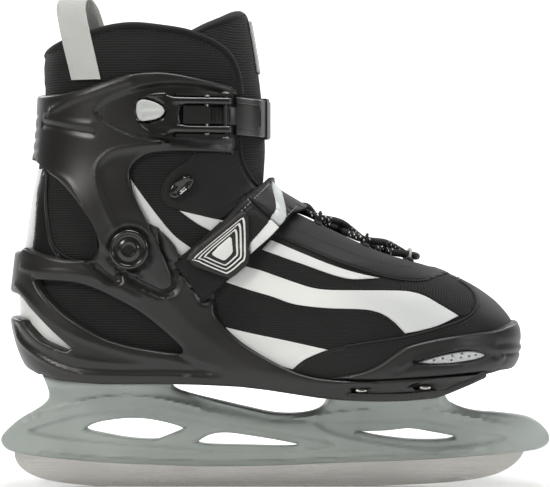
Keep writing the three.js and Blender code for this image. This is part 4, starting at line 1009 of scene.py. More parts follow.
# The leaf-shaped hollow round the windows, and the arc that bounds each tower's foot.
LEAF = [
    (-146, 34), (-123, 40.8), (-99, 45), (-81, 45.6), (-60, 43), (-45, 40.4), (-20, 35.6), (0, 32),
    (20, 28.5), (34, 25), (0, 21.8), (-45, 22.6), (-75, 25.2), (-105, 27.4), (-129, 30.2), (-146, 34),
]
LEAF_FRONT = [
    (24, 39.5), (45, 38.6), (68, 38.6), (84, 39.6), (98, 37.4), (118, 33), (137, 29.4), (118, 25.6),
    (92, 23.6), (72, 25.4), (48, 29.4), (32, 34), (24, 39.5),
]
TOWER_ARCS = (
    [(-139, 43.8), (-123, 50), (-105, 53.8), (-87, 55.2), (-69, 53.4), (-45, 48)],
    [(22, 43), (40, 45.5), (62, 47.5), (84, 47.3), (104, 44.8), (122, 41.5)],
)


def make_blade():
    runner = slab("runner_blade", outline(*RUNNER), 2.0, edge=0.35, step=3.0)
    dress(runner, "steel_runner", "foot", ["runner"])

    top = [sole_track(31.5, 100, -0.4)[::-1], sole_track(-137, -63, -0.4)[::-1]]
    loop = outline(HOLDER_REAR, HOLDER_UNDER, HOLDER_NOSE, top[0], HOLDER_GAP, top[1])

    def half(s):
        base = along(HOLDER_HALF, s.z)
        rear = along(FLARE, s.z - 63.8) - 9.2
        front = along(FLARE, s.z - 54.4) - 9.2
        rear = np.maximum(rear, 0) * ease((-56 - s.x) / 22)
        front = np.maximum(front, 0) * ease((s.x - 24) / 12) * ease((110 - s.x) / 14)
        return base + rear + front

    def relief(s):
        made = s.pool(curve(LEAF), 2.4, 1.6) + s.pool(curve(LEAF_FRONT), 2.2, 1.5)
        made += s.ridge(LEAF, 0.9, -1.1) + s.ridge(LEAF_FRONT, 0.9, -1.1)
        for arc in TOWER_ARCS:
            gap, side = s.line(arc)
            over = np.where(side > 0, gap, 0)
            made += 1.2 * hump(gap, 1.2) - 2.4 * (1 - np.exp(-over / 1.6)) * np.exp(-over / 15)
        low, _ = s.line(offset_line(HOLDER_UNDER, 4.4))
        below, _ = s.line(HOLDER_UNDER)
        made += 0.9 * hump(low, 0.9) - 1.3 * ease((4.4 - below) / 1.2)
        made += s.ridge([(-63, 60.4), (-45, 52.2), (-20, 45.4), (0, 40.6), (18, 40.6)], 1.2, -1.2)
        return made

    holder = slab("blade_holder_body", loop, half, holes=[outline(w) for w in WINDOWS], edge=2.3, step=1.5,
                  relief=relief, sharp=55)
    dress(holder, "holder_plastic", "foot", ["blade_holder"])
    for node in ("heel_rivet_outer", "heel_rivet_inner", "instep_rivet", "ball_rivet", "toe_rivet_outer",
                 "toe_rivet_inner"):
        refinish(node, "hardware")


def refinish(node, finish_name):
    """A CAD piece that keeps its shape gets its finish."""
    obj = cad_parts[node]
    obj.data.materials.clear()
    obj.data.materials.append(finish(finish_name))


# ---------------------------------------------------------------- chassis and toe cap
CUFF_RUNS = (
    [(-160, 236), (-133.8, 232.5), (-116.1, 234.2), (-100.7, 238.5), (-85, 243), (-69, 244.4),
     (-57.6, 243.6), (-43.3, 241), (-24, 236.6), (-21, 233.1)],
    [(-21, 233.1), (-21.5, 200.4), (-23.8, 198)],
    [(-23.8, 198), (-49, 198.8), (-66, 198.2), (-77, 195.4), (-84.2, 187.2), (-79.9, 171.7), (-66.2, 143.5),
     (-59.7, 127.3), (-60.4, 120.4), (-65.8, 118.7), (-75, 122.7), (-88.7, 130.5)],
    [(-88.7, 130.5), (-91.6, 126.8), (-95, 126.6), (-105.4, 136)],
    [(-105.4, 136), (-101.9, 145.8), (-107.6, 160.2), (-120.7, 176.4), (-135.8, 188.4), (-160, 203)],
)
CHASSIS_RUNS = (
    [(-170, 141), (-151.6, 141.1), (-147.8, 143.2), (-141, 140.5), (-123.1, 136.3), (-105.5, 136)],
    [(-105.5, 136), (-96, 150), (-74, 158), (-58, 147), (-51.4, 138.3)],
    [(-51.4, 138.3), (-45.6, 131.3), (-36.4, 119.8), (-34.7, 115.1), (-35.3, 108.8), (-33.5, 101.8),
     (-20.2, 88.6), (2.9, 75.3), (23, 68.6), (51.5, 66.3), (71.6, 67), (94.5, 68.4), (124, 70.2)],
    [(124, 70.2), (124.2, 66.4), (115, 62.6), (104, 58.6), (99, 57.2)],
)
CHASSIS_WINDOW = [
    (-140.8, 124.3), (-121.3, 123.3), (-109.7, 121), (-98.2, 116.3), (-78, 105.1), (-60.7, 90.8),
    (-54.4, 83.9),
    (-58, 82), (-78.1, 84.8), (-90.8, 87.7), (-103.5, 92.3), (-123.2, 104.1), (-136.4, 116.8),
    (-140.8, 124.3),
]
HEEL_SLIT = (
    [(-175, 117), (-153, 116), (-142.7, 106.8), (-130.4, 94.8), (-119.2, 85)],
    [(-119.2, 85), (-123, 83.8), (-130.5, 86.4), (-139, 90.2), (-147.3, 97.9), (-152, 101.5), (-175, 103)],
)
STRAP_BAND = [(-57.9, 133.6), (-41.7, 111), (40, 190), (12, 196)]
TOE_CAP_RUNS = (
    [(35, 67.8), (49.9, 70.8), (59.1, 74.6), (68.9, 81.2), (76.3, 85.8), (86.1, 88.7), (100.5, 91.5),
     (118.2, 93.6), (130.7, 95), (141, 98.3), (165, 104)],
    [(165, 104), (165, 70.8)],
    [(165, 70.8), (121, 71), (94.5, 69.2), (71.6, 67.7), (51.5, 67), (35, 67.8)],
)
VENT = [
    (81.4, 77), (88.9, 79.5), (97.5, 81.7), (106.2, 83.2), (113.3, 83.6), (119.3, 82.4), (123, 80.5),
    (118.1, 78.5), (109.1, 77), (99.2, 76.1), (88.9, 76), (81.4, 77),
]
ARM_LINE = [(-66, 116), (-51, 100.2), (-39, 90.6), (-21, 78.6), (-3, 69.6), (15, 64.6), (33, 61)]


def make_chassis():
    runs = (*CHASSIS_RUNS, sole_track(99, -140, 0), [(-140, float(sole_z(-140))), (-170, 80)])
    slots = [outline([(x - 6, z - 1.3), (x + 6, z - 1.3)], [(x + 6, z + 1.3), (x - 6, z + 1.3)])
             for x, z in ((52.5, 60.6), (92, 62.6))]

    def relief(s):
        pocket = s.pool(grown(outline(*CUFF_RUNS), 4.0), 2.9, 0.8)
        strap = s.pool(grown(STRAP_BAND, 0.4), 4.4, 0.6)
        made = np.minimum(pocket, strap)
        made += s.bevel(ARM_LINE, 0.16, 2.2) * (s.x > -66)
        lip = [(-152, 92), (-148.2, 86.4), (-135, 78), (-123, 72.8), (-111, 70.2), (-90, 69.4), (-57, 69),
               (-30, 67)]
        gap, side = s.line(lip)
        fade = ease((-24 - s.x) / 26)
        made += fade * (0.9 * hump(gap, 1.5) - 1.3 * np.where(side > 0, hump(gap - 3.2, 2.6), 0))
        second = [(-128, 84), (-117, 79.6), (-105, 76.8), (-90, 75), (-72, 74.6)]
        made += s.ridge(second, 1.3, 0.8) * ease((-70 - s.x) / 14)
        made += s.ridge([(-57, 80.6), (-47, 75.6), (-38, 71.6)], 1.2, -0.9)
        ring = [(-149, 132), (-140, 129.8), (-121, 128.6), (-108, 126.6), (-96, 122.6), (-80, 114)]
        made += s.ridge(ring, 1.6, 0.7)
        rear = [(-153.5, 122), (-146, 115.6), (-132, 102.6), (-118, 93.4), (-100, 86.4), (-80, 81),
                (-62, 78.2)]
        made += s.ridge(rear, 1.5, 0.7)
        return np.maximum(made, -4.6)

    wall = on_last("chassis_wall", outline(*runs), CHASSIS_IN, CHASSIS_OUT,
                   [outline(CHASSIS_WINDOW), outline(*HEEL_SLIT), *slots],
                   edge=1.7, relief=relief, step=1.8, span=300, sharp=55)
    x = np.arange(-141, 124.1, 3.0)

    def floor_faces(flat, gap):
        base = sole_z(flat[:, 0])
        cells = 0.8 * ease((np.abs(np.sin(flat[:, 0] * math.pi / 13)) - 0.3) * 3) * ease((gap - 4) / 2)
        return base + quarter_round(gap, 1.6) + cells, base + CHASSIS_FLOOR

    half = half_breadth(x, np.maximum(sole_z(x), 57) + 1.5, CHASSIS_OUT - 0.8)
    floor = level_piece("chassis_floor", x, half, (0.4, 1.6), floor_faces)
    dress(joined("chassis_body", wall, floor), "black_plastic", "foot", ["sole_chassis"])
    refinish("midsole_board", "board")


def make_toe_cap():
    slot_rivets()

    def relief(s):
        made = s.ridge([(130, 86.6), (139, 86.8), (152, 86.4)], 1.15, -1.0)
        made += s.ridge([(128, 81.2), (138, 81), (152, 80.8)], 1.15, -1.0)
        gap, side = s.line([(72, 73.6), (80, 77.6), (93, 82), (104, 84.8), (114, 85.6), (124, 84.4),
                            (134.5, 78.4)])
        made += 0.6 * hump(gap, 1.3) - 0.9 * np.where(side < 0, hump(gap - 1.9, 1.3), 0)
        return made + s.ridge([(74, 71.6), (100, 73), (118, 74.4), (134, 77.6)], 1.2, 0.5)

    vent = outline(VENT)
    cap = on_last("toe_cap_shell", outline(*TOE_CAP_RUNS), CHASSIS_IN, 4.0, [vent], edge=1.3,
                  relief=relief, step=2.0, span=330, sharp=50)
    dress(cap, "toe_rubber", "foot", ["toe_cap"])
    dots = [circle(place, 0.75, 12, 0.55 / 0.75)
            for place in ((92, 78.4), (97, 79.4), (102, 78.4), (102.5, 80.9), (107.5, 79.7), (108, 82),
                          (112.5, 80.4), (116.5, 81))]
    vents = on_last("toe_vents", grown(vent, -0.35), CHASSIS_IN, 2.5, dots, edge=0.5, step=1.1, span=330)
    dress(vents, "vent_silver", "foot", ["toe_vent_outer", "toe_vent_inner"])
    backs = on_last("toe_vent_backs", grown(vent, -0.8), 0.5, 1.1, edge=0.2, step=2.0, span=330)
    dress(backs, "gloss_black", "foot")


# ---------------------------------------------------------------- cuff
def cuff_inner(z):
    """How far out from the skin the cuff's inner face lies: further round the ankle than above it."""
    return CUFF_HIGH + (CUFF_LOW - CUFF_HIGH) * (1 - ease((z - 160) / 38))


RECESS = [
    (-104.3, 221.3), (-100.8, 225.3), (-95, 228.7), (-86.3, 232.1), (-77.7, 234.7), (-69.1, 236.3),
    (-57.6, 237.2),
    (-43.3, 236.5), (-31.9, 234.2), (-18, 231), (-18, 203), (-34.7, 202.6), (-49, 203.8), (-66.2, 205),
    (-77.7, 206.8), (-86.3, 209.4), (-93.8, 212.8), (-100.8, 217.2), (-104.3, 221.3),
]


def make_cuff():
    def relief(s):
        made = s.pool(RECESS, 1.5, 1.0) + s.ridge(RECESS, 0.9, -0.7)
        made += s.ridge([(-137, 215.6), (-117, 211), (-106, 209)], 1.5, -0.9)
        made += s.ridge([(-136, 219.2), (-118, 215.4), (-107, 214)], 1.8, 0.5)
        made += s.ridge([(-132, 222.6), (-118, 229), (-108, 232), (-96, 236), (-84, 239.6)], 2.0, 0.9)
        inner = [(-66, 202.6), (-84, 200.6), (-96, 197.6), (-103, 189), (-101.6, 176), (-95, 160),
                 (-86, 144)]
        gap, side = s.line(inner)
        band = np.where(side > 0, gap, 0)
        made += 0.6 * hump(gap, 1.4) - 1.2 * (1 - np.exp(-band / 2.4)) * ease((205 - s.z) / 3)
        rear = [(-131, 187), (-120, 181), (-112.6, 170), (-106.6, 157), (-98.8, 143)]
        gap, side = s.line(rear)
        made += 0.5 * hump(gap, 1.5) - 1.3 * np.where(side < 0, 1 - np.exp(-gap / 3), 0) * (s.z < 195)
        made += s.ridge([(-80.6, 133), (-75, 126), (-70, 121)], 1.3, -0.8)
        made += s.pool(circle(PIVOT, 12.8), 1.3, 0.9) + s.ridge(circle(PIVOT, 15), 1.3, 0.45)
        for z in (193.8, 200.4, 207, 213.6, 221):
            made -= 0.8 * hump(s.z - z, 1.1) * ease((-139 - s.x) / 5)
        return np.maximum(made, -1.9)

    shell = on_last("cuff_shell", outline(*CUFF_RUNS), lambda s: cuff_inner(s.z),
                    lambda s: cuff_inner(s.z) + CUFF_WALL,
                    edge=1.5, relief=relief, step=1.6, span=235, ref=5.5, sharp=55)
    pad_loop = grown(outline([(-18, -10.4), (18, -10.4)], [(18, 10.4), (-18, 10.4)]), 2)
    pad = slab("cuff_pad", pad_loop, -0.1, -8, edge=0.8, step=3, warp=to_cuff)
    dress(joined("cuff_body", shell, pad), "black_plastic", "cuff", ["ankle_cuff"])
    face = float(half_breadth(*PIVOT, 7.2)) + 0.9
    dish = [(4, -3), (4, 0), (10.9, 0), (11.4, 0.5), (11.4, 2.0), (11.1, 2.6), (10.4, 3.0), (9.6, 3.0),
            (9.0, 2.6),
            (8.6, 2.0), (7.6, 1.75), (6.2, 1.75), (5.6, 2.1), (5.0, 2.45), (4.2, 2.5), (3.6, 2.2),
            (2.8, 2.1), (0.01, 2.3)]
    for name, side in (("outer", -1), ("inner", 1)):
        bolt = turned("pivot_cap_" + name, dish, (PIVOT[0], side * face, PIVOT[1]), side=side)
        dress(bolt, "gloss_black", "foot", ["pivot_bolt_" + name])
        refinish("pivot_nut_" + name, "hardware")


# ---------------------------------------------------------------- buckle and ladder strap
BUCKLE_Y = -(float(half_breadth(*BUCKLE_AT, CUFF_HIGH + CUFF_WALL)) - 0.6)
LEVER_RUN = (
    [(-38.2, 2.4), (-37, 8), (-33, 10.9), (-26.2, 12.4), (-20, 12.6)],
    [(-20, 12.6), (-17.5, 10.4), (17, 10.4)],
    [(17, 10.4), (17, 6)],
    [(17, 6), (-9.5, 6), (-12.5, 4), (-13.3, 0), (-12.5, -4), (-9.5, -6), (17, -6)],
    [(17, -6), (17, -10.4)],
    [(17, -10.4), (-17.5, -10.4), (-20, -12.6)],
    [(-20, -12.6), (-30, -10.2), (-35.5, -5.8), (-38.2, 2.4)],
)
TAB_RUN = [
    (-37.4, 2.2), (-36.9, 6.4), (-34.4, 8.4), (-29, 7.4), (-24.4, 5.2), (-22, 2.1), (-23.6, -0.8),
    (-27, -2.7), (-34.6, -3.6), (-36.8, -0.6), (-37.4, 2.2),
]
LADDER_THICK, LADDER_WIDTH, SLEEVE_WIDTH = 2.2, 10.6, 22.0
TOOTH_HALF, LINE_HALF = 3.6, 7.2


def to_cuff(p):
    """From the buckle's own frame to its place on the cuff."""
    c, s = math.cos(BUCKLE_TURN), math.sin(BUCKLE_TURN)
    x, y, z = np.asarray(p, float).T
    return np.c_[c * x - s * y + BUCKLE_AT[0], s * x + c * y + BUCKLE_Y, z + BUCKLE_AT[1]]


def bent_to_cuff(p):
    """The same, for the lever, whose tail follows the cuff's curve."""
    q = np.array(p, float)
    q[:, 1] += 0.0095 * np.maximum(0, -13 - q[:, 0]) ** 2
    return to_cuff(q)


def ladder_path():
    """The ladder strap's route in plan: through the buckle, round the shin and onto the cuff's inner side."""
    local = to_cuff([(-18, -3.7, 0), (-6, -3.7, 0), (6, -3.7, 0), (20, -3.7, 0)])[:, :2].tolist()
    z = BUCKLE_AT[1]
    over = [(-13.5, 3.8), (-8.6, 2.4)]
    local += [(x, -float(half_breadth(x, z, lift))) for x, lift in over]
    local.append((float(front_x(z, 1.8)), 0))
    local += [(x, float(half_breadth(x, z, lift))) for x, lift in over[::-1]]
    on_cuff = CUFF_HIGH + CUFF_WALL + 0.4 + LADDER_THICK / 2 + 0.4
    local += [(x, float(half_breadth(x, z, on_cuff))) for x in (-20.5, -28, -40, -56)]
    return local


def band_along(name, path, width, thick):
    """A flat band on edge along a plan path, rounded at its edges."""
    p = np.c_[path, np.full(len(path), BUCKLE_AT[1])]
    t, w, r = thick / 2, width / 2, min(0.8, thick / 2 - 0.05)
    corner = [(math.cos(a), math.sin(a)) for a in np.radians((0, 30, 60, 90))]
    sec = []
    for sx, sz, flip in ((1, 1, 0), (-1, 1, 1), (-1, -1, 0), (1, -1, 1)):
        arc = [(sx * (t - r + r * c), sz * (w - r + r * s)) for c, s in corner]
        sec += arc[::-1] if flip else arc
    return swept(name, p, sec, ups=UPRIGHT, sharp=40)


def make_buckle():
    rails = [[(-16.5, 8.2), (16.5, 8.2)], [(-16.5, -8.2), (16.5, -8.2)]]

    def relief(s):
        made = s.pool(grown(outline(TAB_RUN), 1.0), 3.6, 0.8)
        for rail in rails:
            made += s.ridge(rail, 1.6, 0.7)
        made += s.ridge([(-33, -9), (-27, -11), (-21, -11.6)], 1.2, 0.5)
        made += s.ridge([(-36, 8.5), (-30, 11), (-22, 11.6)], 1.2, 0.4)
        return made - 0.05 * np.maximum(0, np.abs(s.z) - 6)

    lever = slab("buckle_lever_body", outline(*LEVER_RUN), 9.9, 5.2, edge=1.1, step=1.4, warp=bent_to_cuff,
                 relief=relief, sharp=50)
    dress(lever, "gloss_black", "lever", ["buckle_lever"])

    def tab_relief(s):
        made = s.pool([(-27.6, -1.4), (-33.4, -2), (-34.6, 0.4), (-28, 0.6), (-25, 0.4)], 0.7, 0.7)
        made += s.pool([(-28, 2.6), (-34.6, 2.6), (-34.2, 6.4), (-29, 5.8), (-25.6, 3.8)], 0.7, 0.7)
        return made + s.ridge([(-35.6, 1.5), (-24, 1.7)], 0.8, 0.35)

    tab = slab("release_tab_body", outline(TAB_RUN), 10.9, 8.6, edge=0.7, step=0.9, warp=bent_to_cuff,
               relief=tab_relief,
               sharp=50)
    dress(tab, "tab_plastic", "release", ["release_tab"])
    for node in ("buckle_base", "ratchet_pawl", "lever_pin"):
        refinish(node, "plain_black")
    pin_heads()
    for node in ("buckle_rivet_1", "buckle_rivet_2", "pawl_pin", "ladder_rivet"):
        refinish(node, "hardware")
    ladder_strap()


def ladder_strap():
    """The toothed strap, the sleeve over its front end, the sleeve's keeper and its raised edge line."""
    path = curve(ladder_path(), 1.0)
    z = BUCKLE_AT[1]
    sleeve_from = np.argmax(path[:, 0] > -23.2)
    front = path[sleeve_from:]
    pieces = [band_along("ladder_band", path, LADDER_WIDTH, LADDER_THICK),
              band_along("ladder_sleeve", front, SLEEVE_WIDTH, LADDER_THICK + 0.5)]
    out = unit(np.gradient(path, axis=0))
    out = np.c_[out[:, 1], -out[:, 0]]
    for k in range(3, sleeve_from - 2, 2):
        a = path[k] + out[k] * (LADDER_THICK / 2 + 0.05)
        tooth = [(*a, z - TOOTH_HALF), (*a, z + TOOTH_HALF)]
        pieces.append(swept(f"ladder_tooth_{k}", tooth, ring_section(0.42, 6)))
    keeper = int(np.argmax(front[:, 0] > front[:, 0].max() - 2.2))
    keeper_path = front[keeper - 2 : keeper + 3]
    pieces.append(band_along("ladder_keeper", keeper_path, SLEEVE_WIDTH + 2.4, LADDER_THICK + 2.0))

    ahead = unit(np.gradient(front, axis=0))
    face = front + np.c_[ahead[:, 1], -ahead[:, 0]] * (LADDER_THICK / 2 + 0.3)
    tip = int(keeper * 0.62)
    line = [(*p, z + LINE_HALF) for p in face[:tip]]
    for a in np.radians(np.linspace(90, -90, 11)):
        line.append((*face[tip + int(round(3.4 * math.cos(a)))], z + LINE_HALF * math.sin(a)))
    line += [(*p, z - LINE_HALF) for p in face[:tip][::-1]]
    pieces.append(swept("ladder_edge_line", line, ring_section(0.5, 6)))
    dress(joined("ladder_strap_body", *pieces), "black_plastic", "cuff", ["ladder_strap"])


# Each pin's place in the buckle's own frame, its head's radius and how far from the middle the head sits.
PIN_HEADS = (((14, -7.2), 2.3, 12.5), ((3, -8.2), 1.7, 10.5))


def pin_heads():
    """Bright ends of the buckle's two pins."""
    made = []
    for (at, radius, base), side in ((head, side) for head in PIN_HEADS for side in (-1, 1)):
        profile = [(0.1, 0), (radius, 0.02), (radius, 0.7), (radius - 0.5, 1.1), (0.1, 1.25)]
        end = turned(f"pin_head_{radius}_{side}", profile, (0, 0, 0), axis="z", sides=20)
        p = np.array([v.co for v in end.data.vertices]) / MM
        p = p * (1, 1, side) + (*at, side * base)
        for v, place in zip(end.data.vertices, to_cuff(p)):
            v.co = place * MM
        if side < 0:
            end.data.flip_normals()
        made.append(end)
    dress(joined("lever_pin_heads", *made), "hardware", "cuff")


def slot_rivets():
    """Bright rivet ends that show inside the two slots of the chassis."""
    made = []
    for x, z in ((49.6, 60.8), (86.6, 62.4)):
        deep = float(half_breadth(x, z, CHASSIS_OUT - 2.6))
        for side in (-1, 1):
            head = turned(f"slot_rivet_{x}_{side}", [(0.1, -2), (3.3, -2), (3.3, 0), (2.6, 0.5), (0.1, 0.8)],
                          (x, side * deep + float(toe_bend(x)), z), side=side, sides=24)
            for v in head.data.vertices:
                v.co.z = z * MM + (v.co.z - z * MM) * 0.36
            made.append(head)
    dress(joined("slot_rivet_heads", *made), "hardware", "foot")




# ---------------------------------------------------------------- boot
COLLAR_TOP = [
    (-165, 257), (-137.4, 258), (-125.8, 262.8), (-110, 267.7), (-95.5, 271.4), (-82, 272.8), (-66.5, 271.4),
    (-50, 268.8), (-35, 263), (-26, 255), (-21.5, 243), (-20.5, 234),
]
COLLAR_FRONT = [(-20.5, 234), (-20.5, 200.2), (-18.8, 192.7), (-14.7, 184.6), (-9, 178)]
SEAM = [(-9, 178), (-4, 172), (-20, 152), (-50, 122), (-52, 110), (-52, 68.8)]
TONGUE_TOP = [(-52, 266), (-41.9, 272.1), (-31, 277.5), (-19.6, 283.8), (-10, 287)]
THROAT_HALF, THROAT_END = 13.0, 92.0
SHAFT_NODES = ("boot_collar", "boot_quarter_outer", "boot_quarter_inner")


def throat_edge(wider=0.0, start=-6.0, out=0.0):
    """The lacing gap's edge as (x, z) points, from the ankle to the toe's midline."""
    half, end = THROAT_HALF + wider, THROAT_END + wider
    x = np.arange(start, end - half + 0.1, 3.0)
    a = np.linspace(0, math.pi / 2, 9)[1:]
    x = np.r_[x, end - half + half * np.sin(a)]
    y = np.r_[np.full(len(x) - len(a), half), half * np.cos(a)]
    return np.c_[x, height_over(x, np.maximum(y, 0.02), out)]


def front_track(z0, z1, out=0.0):
    """A line just past the front midline, so that what it bounds is closed there."""
    z = np.linspace(z0, z1, max(2, int(abs(z1 - z0) / 2)))
    return np.c_[front_x(z, out) + 3, z]


def make_shell():
    shaft_loop = outline(COLLAR_TOP, COLLAR_FRONT, SEAM[:3], SEAM[2:5], SEAM[4:], sole_track(-52, -137, 5.2),
                         [(-137, 73), (-170, 80)])
    heel = [(-133.6, 181.5), (-133.6, 170.9), (-132.1, 159.2), (-130.4, 148.7), (-127.3, 142.3),
            (-121.3, 137.7), (-114.2, 135.4)]

    def puff(s):
        made = 0.5 * ease(s.edge / 14) * (s.z > 240)
        made = made + 0.7 * ease((s.z - 244) / 10) * ease((s.edge - 2) / 8)
        return made + s.ridge(heel, 1.2,
                              -0.35) + 0.1 * np.sin(s.x / 5.5) * np.sin(s.z / 8.0) * ease(s.edge / 6)

    shaft = on_last("boot_shaft", shaft_loop, -UPPER_WALL, 0.0, edge=0.7, relief=puff, step=2.8, **ON_ANKLE)
    dress(shaft, "ankle_mesh", nodes=SHAFT_NODES, blend=True)

    edge = throat_edge()
    loop = np.vstack([outline(SEAM[::-1][:2], SEAM[::-1][1:4], [SEAM[2], (-6, 168)]), edge,
                      front_track(float(edge[-1, 1]) - 0.3, 66), sole_track(118, -52, 5.2)])

    def vamp_puff(s):
        return 0.35 * np.sin(s.x / 9.0) * np.sin((s.z + s.x * 0.4) / 7.0) * ease(s.edge / 8)

    vamp = on_last("boot_vamp_skin", loop, -UPPER_WALL, 0.0, edge=0.6, relief=vamp_puff, step=2.8, **ON_FOOT)
    dress(vamp, "vamp_mesh", "foot", ["boot_vamp"])


TOE_SEAM = [
    (101.2, 128), (109.2, 123.4), (114.7, 119), (117.5, 114.2), (117.5, 109.2), (114, 104.7), (106.7, 100.8),
    (94.9, 96.9), (83.4, 93.7), (71.9, 91.1), (54.6, 88.6), (40.3, 86.2), (30.5, 84.2), (21.3, 80.6),
    (14.4, 76.8), (9.8, 72.4),
]
EYESTAY_LOW = [
    (-4, 152.6), (1.7, 149.9), (13.4, 144.6), (26.1, 139.1), (43.4, 132.5), (60.7, 127), (72.3, 124.4),
    (82.3, 123.5), (90.2, 124.3), (96.7, 126.5), (103.2, 127.6),
]
STRIPES = {
    "stripe_instep": [(-1.7, 147.5), (14.5, 140.6), (31.8, 133.6), (46.2, 129), (61.2, 125.6), (51.9, 125),
                      (44.4, 125), (34.6, 127.3), (20.3, 132.2), (5.8, 137.4), (-6.4, 142), (-1.7, 147.5)],
    "stripe_side": [(-16.8, 132.4), (-7.5, 129.8), (2.9, 126.1), (14.5, 122.1), (22.5, 119.8), (31.7, 118.7),
                    (51.9, 118.5), (72.1, 118.3), (79.6, 117.5), (87.1, 115.2), (95.2, 110.6),
                    (106.7, 103.7),
                    (94.9, 98.3), (84.6, 95.4), (75.4, 93.7), (69, 100.3), (63.3, 104.3), (57, 106.6),
                    (48.9, 107.6),
                    (31.7, 108.1), (17.3, 109.4), (8.7, 111.1), (-1.7, 114.8), (-14.5, 118.5),
                    (-28.4, 123.2), (-16.8, 132.4)],
    "stripe_sole": [(-31, 97.4), (-14.5, 93.6), (8.7, 88.9), (30.5, 84.2), (23.1, 81.2), (16.7, 78),
                    (10.4, 72.7), (-2.9, 76), (-14.5, 80), (-26, 88), (-31, 97.4)],
    "stripe_ankle": [(-87, 187), (-78.1, 175.3), (-72.3, 167.5), (-66.5, 160), (-60.8, 153), (-55, 147.5),
                     (-44, 140), (-51.6, 134.3), (-57.3, 136.3), (-67, 138), (-80, 170), (-87, 187)],
    "stripe_flap": [(-55, 164.6), (-46.3, 162.6), (-37.7, 160.6), (-26, 158.1), (-32.8, 150.5),
                    (-40.6, 154.8), (-46.3, 158.2), (-55, 164.6)],
}
FLAP = [
    (-46.5, 200.5), (-50, 194), (-55, 190.9), (-60.7, 186.3), (-64.5, 180.5), (-65.9, 175.3), (-64.8, 170.7),
    (-61.3, 166.6), (-55, 164.9), (-43.4, 162), (-30.7, 159.7), (-22.7, 166.1), (-14.6, 172.7), (-10, 176.8),
]
FLAP_FRONT = [(-10, 176.8), (-15.6, 184.6), (-19.8, 192.7), (-21.4, 200.5)]
HEEL_WHITE = [
    (-170, 190), (-137.4, 189.4), (-140.5, 177.1), (-141.3, 162.3), (-142, 150.5), (-143, 138), (-146, 124),
    (-136, 108), (-122, 96), (-108, 88), (-108, 78), (-140, 78), (-170, 84),
]
HEEL_STRIP = [
    (-137.2, 190), (-140.3, 177.1), (-141.1, 162.3), (-141.8, 150.5), (-142.6, 134), (-124, 134),
    (-127.6, 142.3), (-130.7, 148.7), (-132.5, 159.2), (-134, 170.9), (-134, 186),
]
HEEL_PIPE = [
    (-133.6, 186), (-133.6, 170.9), (-132.1, 159.2), (-130.4, 148.7), (-127.3, 142.3), (-121.3, 137.7),
    (-114.2, 135.4), (-107.8, 135.1), (-104.3, 137.7), (-103.1, 142.9), (-103.6, 149.8),
]
TOE_PANEL = [
    (78, 127), (92, 127.2), (101, 127.4), (109, 123), (114.5, 118.8), (117.2, 114.2), (117.2, 109.4),
    (113.8, 105), (107.4, 103.9), (95.6, 110.9), (87.4, 115.6), (79.8, 117.9), (72, 118.6), (74, 123),
]


def piping(name, line, out, radius, finish_name="hide", body=None, blend=False):
    """A thin raised cord sewn along a line of (x, z) points, on both sides."""
    p = curve(line, 1.6)
    y = half_breadth(p[:, 0], p[:, 1], out)
    made = []
    for side in (-1, 1):
        path = np.c_[p[:, 0], side * y + toe_bend(p[:, 0]), p[:, 1]]
        made.append(swept(f"{name}_{side}", path, ring_section(radius, 8)))
    return dress(joined(name, *made), finish_name, body, blend=blend)


def cornered(points):
    """A closed list of points as runs that meet at its sharp corners."""
    p = np.array(points[:-1], float)
    ahead = np.roll(p, -1, 0) - p
    behind = p - np.roll(p, 1, 0)
    turn = np.degrees(np.abs(np.arctan2(
        ahead[:, 0] * behind[:, 1] - ahead[:, 1] * behind[:, 0], (ahead * behind).sum(1))))
    at = [int(k) for k in np.nonzero(turn > 48)[0]]
    ring = points[:-1]
    return [[ring[j % len(ring)] for j in range(a, (b if b > a else b + len(ring)) + 1)]
            for a, b in zip(at, at[1:] + at[:1])]


